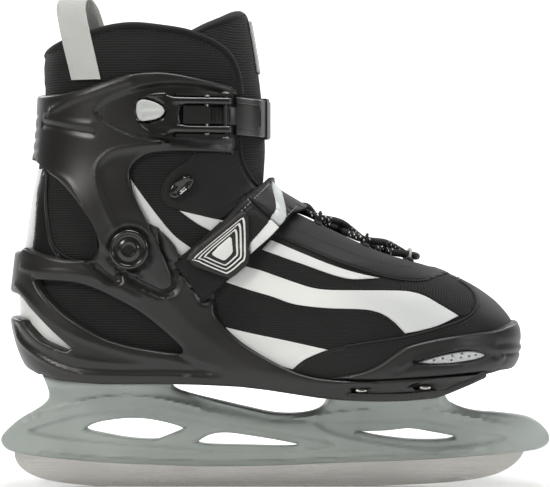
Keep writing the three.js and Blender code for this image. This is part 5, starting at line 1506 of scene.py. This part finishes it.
def make_overlays():
    edge = throat_edge(0.5)
    toe = np.vstack([curve(TOE_SEAM), sole_track(9, 118, 5.4), front_track(66, 127.8)])
    eyestay = np.vstack([curve(EYESTAY_LOW), front_track(127.4, float(edge[-1, 1]) - 0.2), edge[::-1],
                         [(-8, 160)]])

    def crown(most, width):
        return lambda s: most * ease(s.edge / width)

    pieces = [
        ("toe_overlay", toe, 0.75, "hide", dict(step=2.6, relief=crown(0.25, 7))),
        ("eyestay", eyestay, 0.95, "hide", dict(step=2.4, relief=crown(0.3, 4))),
        ("toe_panel", outline(TOE_PANEL), 0.5, "toe_mesh", dict(step=2.2)),
    ]
    for name in ("stripe_instep", "stripe_side", "stripe_sole"):
        pieces.append((name, outline(*cornered(STRIPES[name])), 0.62, "stripe", dict(step=2.4, reach=1.3)))
    for name, loop, top, look, more in pieces:
        made = on_last(name, loop, -0.3, top, edge=0.45, **{**ON_FOOT, **more})
        dress(made, look, "foot")
    pieces = [
        ("ankle_flap", outline(FLAP, FLAP_FRONT), 0.8, "hide", dict(relief=crown(0.3, 5))),
        ("stripe_ankle", outline(*cornered(STRIPES["stripe_ankle"])), 0.55, "stripe", {}),
        ("stripe_flap", outline(*cornered(STRIPES["stripe_flap"])), 0.6, "stripe", {}),
        ("heel_panel", np.array(HEEL_WHITE, float), 0.5, "stripe", dict(ref=0.5)),
        ("heel_strip", outline(HEEL_STRIP), 0.45, "heel_gloss", {}),
    ]
    for name, loop, top, look, more in pieces:
        made = on_last(name, loop, -0.3, top, edge=0.4, step=2.4, **ON_ANKLE, **more)
        dress(made, look, blend=True)
    piping("heel_piping", HEEL_PIPE, 0.25, 0.75, blend=True)
    piping("toe_piping", [(p[0] + 0.3, p[1]) for p in TOE_SEAM[1:12]], 0.8, 0.7, body="foot")
    piping("collar_front_edge", COLLAR_FRONT[:1] + [(-20.5, 217), *COLLAR_FRONT[1:4], (-10.5, 179.4)], -0.6,
           1.3,
           "binding", blend=True)

    p = curve(COLLAR_TOP[1:], 2.2)
    y = half_breadth(p[:, 0], p[:, 1], -1.2)
    y[0] = 0
    half = np.c_[p[:, 0], -y, p[:, 1] - 1.0]
    path = np.vstack([half[::-1], (half * (1, -1, 1))[1:]])
    back = float(heel_x(258, -1.2))
    centre = np.abs(path[:, 1]) < 14
    path[centre, 0] = np.maximum(path[centre, 0], back)
    bind = swept("collar_binding", smoothed(path), ring_section(2.5, 12, 0.86), ups=UPRIGHT)
    dress(bind, "binding", "cuff")

    up = [(x, z + 1.8) for x, z in EYESTAY_LOW[1:-2]]
    seam2 = [(4.7, 156.3), (14.6, 152.8), (26.3, 147.5), (40.8, 141.7), (55.3, 136.5), (69.9, 133),
             (81.9, 131.7)]
    toe_in = offset_line(TOE_SEAM, 1.7)
    stitches("vamp_stitches",
             [up, seam2, toe_in[4:-4],
              [(32, 82.5), (53.8, 81), (67.2, 85.2), (85, 90), (104, 96.2), (112, 98.6)]],
             1.3, "foot")
    stripe_rows = [offset_line(STRIPES["stripe_side"][:12], 1.3),
                   offset_line(STRIPES["stripe_side"][12:25], 1.3)]
    stitches("stripe_stitches", stripe_rows, 0.1, "foot", finish_name="thread")
    stitches("ankle_stitches",
             [offset_line(FLAP[1:-1], 1.6), offset_line(HEEL_PIPE[1:-1], 1.9),
              offset_line(COLLAR_TOP[2:-1], -5.4),
                                offset_line(COLLAR_TOP[2:-1], -4.1)], 0.6, blend=True)


def smoothed(path, times=2):
    """A path with its corners eased, its ends kept."""
    p = np.array(path, float)
    for _ in range(times):
        p[1:-1] = (p[:-2] + 2 * p[1:-1] + p[2:]) / 4
    return p


# ---------------------------------------------------------------- padding
def make_padding():
    loop = outline([(-165, 253), (-137.4, 254), (-110, 263), (-82, 268.2), (-50, 264), (-38, 258),
                    (-33, 240)],
                   [(-33, 240), (-36, 200), (-30, 176), (-20, 160)], [(-20, 160), (-50, 122)],
                   [(-50, 122), (-52, 72)],
                   sole_track(-52, -128, 14), [(-128, 80), (-170, 88)])

    def inner_face(s):
        swell = 1.6 * ease((s.z - 205) / 24) * ease((s.edge - 1) / 12)
        return LINING_IN - swell + 0.9 * hump(s.z - 236 - 0.1 * s.x, 1.6)

    collar = on_last("collar_padding", loop, inner_face, LINING_OUT, edge=2.4, step=3.0, span=210,
                     ref=LINING_OUT,
                     relief=lambda s: -0.2 * (1 - ease(s.edge / 4)))
    collar = inflated(collar, 3.0, 1.2)
    dress(collar, "lining", nodes=["liner_collar", "liner_quarter_outer", "liner_quarter_inner"],
          blend=True)

    edge = throat_edge(9.0, out=LINING_OUT)
    foot = np.vstack([[(-50, 74), (-48, 122), (-20, 150), (-8, 160)], edge,
                      front_track(float(edge[-1, 1]) - 0.3, 72),
                      sole_track(112, -48, 14)])
    liner = on_last("vamp_padding", foot, LINING_IN, LINING_OUT, edge=1.6, step=4.0, span=330, reach=1.4)
    dress(liner, "lining", "foot", ["liner_vamp"])

    shaft = np.vstack([curve(TONGUE_TOP), front_track(285, 176), [(-12, 172), (-20, 168)],
                       curve([(-28, 164), (-40, 185), (-46, 215), (-50, 245), (-52, 266)])])

    def tongue_relief(s):
        made = 0.5 * ease(s.edge / 8) - 0.2
        return made + s.ridge([(-44, 262), (-28, 272), (-14, 279)], 1.5, -0.6)

    tongue = on_last("tongue_padding", shaft, TONGUE_IN, TONGUE_OUT, edge=3.0, relief=tongue_relief,
                     step=2.8,
                     span=210, ref=-1)
    tongue = inflated(tongue, 3.0, 1.0)
    dress(tongue, "tongue_mesh", nodes=["tongue_shaft"], blend=True)

    edge = throat_edge(7.0, start=-8, out=TONGUE_OUT)
    strip = np.vstack([[(-14, 164)], edge, front_track(float(edge[-1, 1]) - 0.2, 176)])
    low = on_last("tongue_foot_padding", strip, TONGUE_IN, TONGUE_OUT, edge=1.6, step=3.0, span=330,
                  reach=1.4,
                  relief=lambda s: 0.35 * np.sin(s.x / 4.2) * ease(s.edge / 5))
    dress(low, "tongue_mesh", "foot", ["tongue_foot"])

    p = curve(TONGUE_TOP, 2.0)
    y = half_breadth(p[:, 0], p[:, 1], -4.2)
    half = np.c_[p[:, 0], -y, p[:, 1] - 1.0]
    half = half[y > 0.6]
    end = half[-1] * (1, 0, 1) + (0.4, 0, 0.2)
    path = smoothed(np.vstack([half, [end], (half * (1, -1, 1))[::-1]]), 3)
    bind = swept("tongue_binding", path, ring_section(4.0, 12, 0.62), ups=UPRIGHT)
    dress(bind, "binding", "cuff")

    z = np.linspace(247.5, 278, 16)
    x = x_near_front(9.0, z, 0.3)
    label_loop = np.vstack([np.c_[x, z], front_track(278, 247.5)])
    label = on_last("tongue_label_patch", label_loop, -0.7, 0.4, edge=0.35, step=1.6, span=210)
    dress(label, "loop_tape", "cuff", ["tongue_label"])

    x = np.arange(-138, 128, 3.0)
    out = half_breadth(x, np.maximum(sole_z(x), 62) + 16, -8.9)

    def insole_faces(flat, gap):
        base = sole_z(flat[:, 0]) + 9.2
        cup = 1.6 * ease((10 - gap) / 12) * ease((-40 - flat[:, 0]) / 30) - quarter_round(gap, 1.4)
        arch = 1.4 * hump(flat[:, 0] + 30, 30) * ease(flat[:, 1] / 20)
        return base, base + 3.6 + cup + arch

    insole = level_piece("insole_pad", x[out > 2], out[out > 2], (0.6, 2.0), insole_faces)
    dress(insole, "footbed", "foot", ["insole"])


def inflated(obj, voxel, cap):
    """The piece blown up gently as cloth, no point further than cap from where it was."""
    scene = bpy.context.scene
    bpy.context.view_layer.objects.active = obj
    mod = obj.modifiers.new("remesh", "REMESH")
    mod.mode, mod.voxel_size, mod.use_smooth_shade = "VOXEL", voxel * MM, True
    bpy.ops.object.modifier_apply(modifier=mod.name)
    rest = np.empty(len(obj.data.vertices) * 3)
    obj.data.vertices.foreach_get("co", rest)
    cloth = obj.modifiers.new("cloth", "CLOTH")
    cloth.settings.use_pressure = True
    cloth.settings.uniform_pressure_force = 4.0
    cloth.settings.effector_weights.gravity = 0.0
    cloth.settings.quality = 3
    for frame_number in range(1, 15):
        scene.frame_set(frame_number)
    graph = bpy.context.evaluated_depsgraph_get()
    made = obj.evaluated_get(graph).to_mesh()
    moved = np.empty(len(rest))
    made.vertices.foreach_get("co", moved)
    obj.evaluated_get(graph).to_mesh_clear()
    obj.modifiers.remove(cloth)
    step = (moved - rest).reshape(-1, 3)
    far = np.linalg.norm(step, axis=1)[:, None]
    step *= np.minimum(1, cap * MM / np.maximum(far, 1e-9))
    obj.data.vertices.foreach_set("co", (rest.reshape(-1, 3) + step).ravel())
    scene.frame_set(1)
    smooth = obj.modifiers.new("round", "SUBSURF")
    smooth.levels = 1
    bpy.ops.object.modifier_apply(modifier=smooth.name)
    p = np.empty(len(obj.data.vertices) * 3)
    obj.data.vertices.foreach_get("co", p)
    p = p.reshape(-1, 3) / MM
    lay = np.c_[p[:, 0] - p[:, 1], p[:, 2], np.full(len(p), 9.0)]
    lay_attribute(obj.data, lay)
    obj.data.shade_smooth()
    return obj


# ---------------------------------------------------------------- instep strap
STRAP_END = [[(3.2, 154.9), (-13.3, 138.9), (-24.2, 127.4)], [(-24.2, 127.4), (-26.5, 126.6), (-45, 131.2)],
             [(-45, 131.2), (-48.6, 133.6), (-48.8, 136.9)],
             [(-48.8, 136.9), (-18.5, 167.8), (-14.7, 171.6)],
             [(-14.7, 171.6), (3.2, 154.9)]]
BADGE = [(-18.5, 163.7), (-16, 163), (-14.6, 160.5), (-14, 137.5), (-16.7, 132.5), (-24, 126.4),
         (-28.2, 125.9), (-43.2, 131.4), (-48.6, 135.6), (-48.4, 139.5)]
BADGE_OUTER = [(-18.6, 160.6), (-17.2, 158.6), (-16.8, 138.6), (-19.4, 134.2), (-26.4, 128.6), (-30, 128.8),
               (-44.6, 135.2), (-45.6, 138.2)]
BADGE_HEART = [(-25.6, 149.2), (-24.6, 148.4), (-24, 141), (-24.8, 139.4), (-28.4, 136), (-29.6, 135.8),
               (-35.4, 138.6), (-35.8, 139.8)]


def make_strap():
    webbing = on_last("strap_webbing_band",
                      outline([(-57.9, 133.6), (-41.7, 111)], [(-41.7, 111), (-14, 138)],
                                                    [(-14, 138), (-30, 158)], [(-30, 158), (-57.9, 133.6)]),
                      2.0, 3.6, edge=0.5, step=2.2, **ONE_SIDE)
    dress(webbing, "webbing", "foot", ["strap_webbing"])

    def pillow(s):
        made = 0.5 * ease(s.edge / 6) - 0.2
        return made - 0.5 * hump(s.edge - 1.9, 0.6)

    top = np.vstack([curve([(-14.2, 172.1), (-1.6, 184.6)]), front_track(185.2, 168.4, 5),
                     curve([(12.6, 163.4), (7.8, 158.6), (3.7, 155.4)]),
                     curve([(3.7, 155.4), (-14.2, 172.1)])[1:-1]])
    upper = on_last("strap_over_instep", top, STRAP_IN, STRAP_OUT, edge=0.9, relief=pillow, step=2.0,
                    **ON_ANKLE)
    lower = on_last("strap_inner", outline([(-57.9, 133.6), (-41.7, 111)], [(-41.7, 111), (5, 157)],
                                           [(5, 157), (-13, 173.4)], [(-13, 173.4), (-57.9, 133.6)]),
                    3.9, 6.0, edge=0.9, relief=pillow, step=2.2, **ONE_SIDE)
    for v in lower.data.vertices:
        v.co.y = -v.co.y + 2 * float(toe_bend(v.co.x / MM)) * MM
    lower.data.flip_normals()
    dress(joined("instep_strap_body", upper, lower), "strap_hide", "foot", ["instep_strap"])
    end = on_last("strap_end_pad", outline(*STRAP_END), STRAP_IN, STRAP_OUT, edge=0.9, relief=pillow,
                  step=1.6, **ONE_SIDE)
    dress(end, "strap_hide", "strap_flap", ["strap_end"])

    curl = outline([(-13.4, 139.6), (-3, 148.8), (2.9, 154.9)], [(2.9, 154.9), (-1.6, 159.3)],
                   [(-1.6, 159.3), (-4.8, 155.8), (-10.8, 148.6), (-13.6, 145.4)],
                   [(-13.6, 145.4), (-13.4, 139.6)])
    made = on_last("strap_stripe_end", curl, 5.9, 6.75, edge=0.35, step=1.3, **ONE_SIDE)
    dress(made, "stripe", "strap_flap")
    curl = outline([(3.4, 156), (6, 158.8), (7.2, 162.4), (6.6, 167.4), (4.9, 174.4), (3.2, 179.5)],
                   [(3.2, 179.5), (-1.6, 182.4)],
                   [(-1.6, 182.4), (-0.6, 177), (0.5, 171.6), (1, 165.6), (-1.2, 160)],
                   [(-1.2, 160), (3.4, 156)])
    made = on_last("strap_stripe_top", curl, 5.9, 6.75, edge=0.35, step=1.3, **ONE_SIDE)
    dress(made, "grey_stripe", "foot")

    badge = on_last("badge_plate", outline(BADGE + BADGE[:1]), 6.9, 8.7, edge=0.9, step=1.3, **ONE_SIDE,
                    relief=lambda s: s.pool(BADGE_OUTER, 0.35, 0.8))
    dress(badge, "badge_rubber", "strap_flap", ["strap_badge"])
    a = curve(BADGE_OUTER + BADGE_OUTER[:1], 1.5)[:-1]
    b = curve(BADGE_HEART + BADGE_HEART[:1], 0.8)
    run = np.linspace(0, len(b) - 1.001, len(a))
    b = np.c_[np.interp(run, range(len(b)), b[:, 0]), np.interp(run, range(len(b)), b[:, 1])]
    lines = []
    for k0, k1 in ((0.0, 0.11), (0.3, 0.40), (0.6, 0.70)):
        ring = a + (b - a) * k0
        hole = a + (b - a) * k1
        lines.append(on_last(f"badge_line_{k0}", ring, 8.0, 8.75, [hole], edge=0.15, step=1.0, **ONE_SIDE))
    lines.append(on_last("badge_heart", outline(BADGE_HEART + BADGE_HEART[:1]), 8.0, 9.0, edge=0.3,
                         step=1.0, **ONE_SIDE))
    dress(joined("badge_lines", *lines), "pale_line", "strap_flap")
    rows = [offset_line([(2.6, 154.6), (-13.3, 138.9), (-24.2, 127.6)], -1.9),
            offset_line([(-48.4, 137.2), (-18.5, 167.8), (-15, 171.2)], -1.9)]
    stitches("strap_end_stitches", rows, 6.3, "strap_flap", finish_name="pale_thread", mirror=False)
    rows = [offset_line([(-13.6, 172.7), (-4, 182.4)], -1.9), offset_line([(14, 166), (4.2, 156)], -1.9)]
    stitches("strap_top_stitches", rows, 6.3, "foot", finish_name="pale_thread")


# ---------------------------------------------------------------- laces, hooks and loop
LACE_ROWS = ((80, 12), (54, 13), (26, 13))
LACE_RADIUS, RING_RADIUS, RING_TUBE = 2.2, 3.5, 0.8
LACE_LIFT = 3.5
TAB_STEP = 2.4


def make_laces():
    def at(x, y, lift):
        return (x, y, float(height_over(x, y)) + lift)

    toe, mid, top = LACE_ROWS

    def crossing(a, b, over):
        return at((a[0] + b[0]) / 2, 0, LACE_LIFT + (2.5 if over else -2.0))

    stops = [
        at(12, 7, 1.6), at(19, -4, 2.2), at(top[0], -top[1], LACE_LIFT), crossing(top, mid, True),
        at(mid[0], mid[1], LACE_LIFT),
        crossing(mid, toe, False), at(toe[0], -toe[1], LACE_LIFT), at(toe[0] + 5, 0, LACE_LIFT),
        at(toe[0], toe[1], LACE_LIFT), crossing(toe, mid, True), at(mid[0], -mid[1], LACE_LIFT),
        crossing(mid, top, False), at(top[0], top[1], LACE_LIFT), at(19, 4, 6.0), at(12, -7, 1.6),
    ]
    path = curve(stops, 0.9)
    bend = np.c_[np.zeros(len(path)), toe_bend(path[:, 0]), np.zeros(len(path))]
    lace = swept("lace_cord", path + bend, ring_section(LACE_RADIUS, 14))
    dress(lace, "lace", "foot", ["lace"])
    names = {6: "outer_1", 8: "inner_1", 10: "outer_2", 4: "inner_2", 2: "outer_3", 12: "inner_3"}
    for stop, name in names.items():
        centre = np.array(stops[stop])
        k = int(np.linalg.norm(path - centre, axis=1).argmin())
        ahead = unit(path[min(k + 2, len(path) - 1)] - path[max(k - 2, 0)])
        u = unit(np.cross(ahead, UPRIGHT))
        w = np.cross(u, ahead)
        turn = full_turn(40)
        ring = centre + RING_RADIUS * (np.cos(turn)[:, None] * u + np.sin(turn)[:, None] * w)
        ring[:, 1] += toe_bend(centre[0])
        made = swept("lace_loop_" + name, ring, ring_section(RING_TUBE, 8), closed=True, ups=ahead)
        look, slot = ("loop_tape", "pale_trim") if name.endswith("1") else ("webbing", "webbing")
        dress(made, look, "foot", ["lace_ring_" + name])
        tab = []
        for step in range(4):
            y = math.copysign(abs(centre[1]) + 1.0 + step * TAB_STEP, centre[1])
            z = float(height_over(centre[0], abs(y))) + (2.2 if step == 0 else 1.4)
            tab.append((centre[0], y + float(toe_bend(centre[0])), z))
        made = swept("lace_tab_" + name, curve(tab, 1.0), ring_section(2.4, 10, 0.35), ups=(0.5, 0, 1.0))
        dress(made, "webbing", "foot")

    loop = [(-8.6, -1.6), (-6.6, 2.4), (-1.2, 4.3), (4.6, 4.5), (8.2, 2.2), (8.4, -1.2), (5.4, -3.6),
            (-0.6, -4.6), (-6, -4.2), (-8.6, -1.6)]
    lean = math.radians(34)
    seat = float(half_breadth(-54.5, 178.2)) + 0.9
    for name, side in (("outer", -1), ("inner", 1)):
        def place(p, side=side):
            x, y, z = p.T
            return np.c_[-54.5 + x * math.cos(lean) - z * math.sin(lean),
                         side * seat + (y if side < 0 else -y),
                         178.2 + x * math.sin(lean) + z * math.cos(lean)]

        hook = slab("lace_hook_body_" + name, outline(loop), 3.6, 0.0, edge=1.6, step=0.8, warp=place,
                    relief=lambda s: s.pool([(-5, -1.4), (-2, 2.2), (4, 2.6), (6, 0.4), (2, -2.4),
                                             (-3, -2.8)], 1.5, 1.2)
                    + s.ridge([(-4, -0.6), (0, 1.4), (5, 1.8)], 0.9, 0.9))
        dress(hook, "gloss_black", "foot", ["lace_hook_" + name])


# The tape's middle line: (distance out from the boot's skin, height).
LOOP_PATH = [
    (1.9, 240.5), (1.9, 254), (1.7, 266), (0.6, 277), (-2, 285.5), (-5.5, 288.4), (-9, 285.5), (-12, 277),
    (-13.4, 268), (-13.6, 262),
]


TAPE_HALF, TAPE_THICK = 9, 1.6


def make_pull_loop():
    p = curve(LOOP_PATH, 1.5)
    lean = math.radians(15)
    origin = np.array([-109, -float(half_breadth(-109, 240.5)), 0])
    rows = np.linspace(-TAPE_HALF, TAPE_HALF, 13)
    tangent = unit(np.gradient(p, axis=0))
    n = np.c_[tangent[:, 1], -tangent[:, 0]]
    points, faces, lay = [], [], []
    run = distance_run(p)
    for face in (TAPE_THICK / 2, -TAPE_THICK / 2):
        for i in range(len(p)):
            for w in rows:
                roll = (-0.5 if face > 0 else 0.3) * (w / TAPE_HALF) ** 4
                wave = 0.25 * math.sin(run[i] / 7.0 + w / 6)
                out, z = p[i] + n[i] * (face + roll + wave)
                x, y = w - 0.25 * (z - 240.5) + 5 * ease((run[i] - 40) / 20), -out
                points.append((origin[0] + x * math.cos(-lean) - y * math.sin(-lean),
                               origin[1] + x * math.sin(-lean) + y * math.cos(-lean), z))
                lay.append((run[i], w, TAPE_HALF - abs(w)))
    m, count = len(rows), len(p)

    def at(f, i, j):
        return f * count * m + i * m + j

    for i in range(count - 1):
        for j in range(m - 1):
            faces.append((at(0, i, j), at(0, i, j + 1), at(0, i + 1, j + 1), at(0, i + 1, j)))
            faces.append((at(1, i, j), at(1, i + 1, j), at(1, i + 1, j + 1), at(1, i, j + 1)))
        faces.append((at(0, i, 0), at(0, i + 1, 0), at(1, i + 1, 0), at(1, i, 0)))
        faces.append((at(0, i, m - 1), at(1, i, m - 1), at(1, i + 1, m - 1), at(0, i + 1, m - 1)))
    for j in range(m - 1):
        faces.append((at(0, 0, j), at(1, 0, j), at(1, 0, j + 1), at(0, 0, j + 1)))
        faces.append((at(0, count - 1, j), at(0, count - 1, j + 1), at(1, count - 1, j + 1),
                      at(1, count - 1, j)))
    obj = to_object("pull_loop_tape", points, faces, lay, 50)
    dress(obj, "loop_tape", "cuff", ["pull_loop"])




# ---------------------------------------------------------------- stage
def make_stage():
    """Pale floor with a sweep behind it, soft lights and the camera."""
    scene = bpy.context.scene
    lowest = min(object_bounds()[0][2], 0.0)
    front, back, wide, rise, bend = -3.0, 3.2, 5.0, 3.4, 0.8
    run = [(front, 0.0), (back, 0.0)]
    run += [(back + bend * math.sin(a), bend - bend * math.cos(a)) for a in np.linspace(0.1, math.pi / 2,
        12)]
    run += [(back + bend, rise)]
    points = [(side * wide, y, z + lowest) for y, z in run for side in (-1, 1)]
    faces = [(2 * i, 2 * i + 1, 2 * i + 3, 2 * i + 2) for i in range(len(run) - 1)]
    mesh = bpy.data.meshes.new("floor")
    mesh.from_pydata(points, [], faces)
    mesh.shade_smooth()
    floor = bpy.data.objects.new("floor", mesh)
    scene.collection.objects.link(floor)
    mesh.materials.append(plain_floor(scene.skate_sizes.floor_tone))
    made = [floor]

    def lamp(name, place, look, size, power, tone=(1, 1, 1)):
        light = bpy.data.lights.new(name, "AREA")
        light.shape, light.size, light.energy, light.color = "SQUARE", size, power, tone
        obj = bpy.data.objects.new(name, light)
        obj.location = place
        obj.rotation_euler = (Vector(look) - Vector(place)).to_track_quat("-Z", "Y").to_euler()
        scene.collection.objects.link(obj)
        made.append(obj)

    lamp("lamp_overhead", (0.05, -0.15, 1.25), (0, 0, 0.12), 0.7, 13)
    lamp("lamp_front_left", (-0.95, -1.15, 1.0), (-0.02, 0, 0.15), 0.4, 13, (1.0, 0.975, 0.94))
    lamp("lamp_front_right", (1.25, -0.95, 0.55), (0, 0, 0.12), 0.35, 4.5)
    lamp("lamp_behind_left", (-0.9, 0.75, 0.8), (0, 0, 0.18), 0.5, 7)
    lamp("lamp_behind_right", (0.9, 0.7, 0.9), (0, 0, 0.18), 0.5, 6)

    world = bpy.data.worlds.new("room")
    world.use_nodes = True
    world.node_tree.nodes["Background"].inputs["Color"].default_value = (1.0, 0.99, 0.97, 1)
    world.node_tree.nodes["Background"].inputs["Strength"].default_value = 0.09
    scene.world = world

    lens = bpy.data.cameras.new("camera")
    lens.lens, lens.sensor_width = 130.9, 36.0
    camera = bpy.data.objects.new("camera", lens)
    camera.location, camera.rotation_euler = (0.0, -1.2, 0.1455), (math.pi / 2, 0, 0)
    scene.collection.objects.link(camera)
    scene.camera = camera
    made.append(camera)
    scene.view_settings.view_transform = "Standard"
    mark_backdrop(*made)


def plain_floor(tone):
    """A pale matt floor that glows behind the skate, so that the back stays even."""
    f = Finish("floor")
    place = f.node("TexCoord", out=3)
    drift = f.node("TexNoise", None, {"Vector": place, "Scale": 3.0})
    back = ((f.node("SeparateXYZ", None, {0: place}, out=1) - 0.12) * 1.5).clamped()
    glow = f.mix(back, (0.1, 0.1, 0.1), (1.0, 1.0, 1.0))
    f.tree.links.new(glow.socket, f.shader.inputs["Emission Color"])
    return f.done(f.mix(drift, (tone, tone, tone), (tone * 1.03,) * 3), 0.75, Emission_Strength=0.85)


# ---------------------------------------------------------------- add-on
def colour(label, told, value):
    """A colour that the panel shows."""
    return FloatVectorProperty(name=label, description=told, subtype="COLOR", default=value, min=0, max=1)


class SkateColours(bpy.types.PropertyGroup):
    """Base colours of the skate's materials."""

    plastic: colour("Black plastic", "Chassis, toe cap, cuff, buckle and hooks", (0.0125, 0.012, 0.0115))
    holder: colour("Holder", "Blade holder's grey-green plastic", (0.36, 0.395, 0.372))
    cloth: colour("Cloth", "Black mesh and knit of the boot", (0.0085, 0.0083, 0.0082))
    hide: colour("Hide", "Black overlays and strap skin", (0.0085, 0.0082, 0.008))
    stripe: colour("Stripe", "Pearly stripes on the upper", (0.74, 0.745, 0.72))
    stripe_cool: colour("Stripe shade", "The cooler end of the stripes", (0.50, 0.525, 0.53))
    trim: colour("Trim", "Pale lines on the badge and cuff", (0.62, 0.64, 0.62))
    runner: colour("Runner", "Bare steel of the blade", (0.52, 0.505, 0.48))
    lining: colour("Lining", "Padded collar and footbed", (0.010, 0.0098, 0.0095))
    tape: colour("Loop tape", "Pull loop and pale lace loops", (0.48, 0.49, 0.47))


class SkateSizes(bpy.types.PropertyGroup):
    """Sizes that may be changed without changing the skate's outline."""

    stitch_pitch: FloatProperty(name="Stitch pitch",
                                description="Distance from stitch to stitch, in millimetres",
                                default=2.6, min=1.5, max=5)
    floor_tone: FloatProperty(name="Floor tone", description="How pale the floor is", default=0.8, min=0.2,
                              max=1,
                              subtype="FACTOR")


def piece_operator(key, label, told, maker):
    """An operator that builds one group of pieces."""

    class Made(bpy.types.Operator):
        bl_idname = f"skate.{key}"
        bl_label = label
        bl_options = {"REGISTER", "UNDO"}

        def execute(self, _context):
            maker()
            return {"FINISHED"}

    Made.__doc__ = told
    Made.__name__ = "SKATE_OT_" + key
    return Made


OPERATORS = [
    piece_operator("blade", "Blade and holder", "Builds the steel runner and the moulded holder",
                   make_blade),
    piece_operator("chassis", "Chassis", "Builds the sole chassis, its vents and its board", make_chassis),
    piece_operator("toe_cap", "Toe cap", "Builds the rubber toe cap", make_toe_cap),
    piece_operator("boot", "Boot", "Builds the boot's shaft and vamp skins", make_shell),
    piece_operator("overlays", "Overlays", "Builds stripes, panels, bindings and stitches", make_overlays),
    piece_operator("padding", "Padding", "Builds the liner, the tongue and the insole", make_padding),
    piece_operator("strap", "Instep strap", "Builds the strap, its end and its badge", make_strap),
    piece_operator("laces", "Laces", "Builds the lace, its loops and the hooks", make_laces),
    piece_operator("pull_loop", "Pull loop", "Builds the tape loop at the heel", make_pull_loop),
    piece_operator("cuff", "Cuff", "Builds the hinged cuff", make_cuff),
    piece_operator("buckle", "Buckle", "Builds the buckle, its lever and the ladder strap", make_buckle),
    piece_operator("stage", "Stage", "Sets the floor, lights and camera", make_stage),
]


class SKATE_PT_panel(bpy.types.Panel):
    """Lists the skate's colours, sizes and build steps."""

    bl_label = "Skate"
    bl_idname = "SKATE_PT_panel"
    bl_space_type = "VIEW_3D"
    bl_region_type = "UI"
    bl_category = "Skate"

    def draw(self, context):
        column = self.layout.column(align=True)
        for group in (context.scene.skate_colours, context.scene.skate_sizes):
            for key in group.__annotations__:
                column.prop(group, key)
        for made in OPERATORS:
            column.operator(made.bl_idname)


CLASSES = (SkateColours, SkateSizes, *OPERATORS, SKATE_PT_panel)


def register():
    for made in CLASSES:
        bpy.utils.register_class(made)
    bpy.types.Scene.skate_colours = PointerProperty(type=SkateColours)
    bpy.types.Scene.skate_sizes = PointerProperty(type=SkateSizes)


def unregister():
    del bpy.types.Scene.skate_colours
    del bpy.types.Scene.skate_sizes
    for made in reversed(CLASSES):
        bpy.utils.unregister_class(made)


def main():
    register()
    for made in OPERATORS:
        getattr(bpy.ops.skate, made.bl_idname.split(".")[1])()


if __name__ == "__main__":
    main()
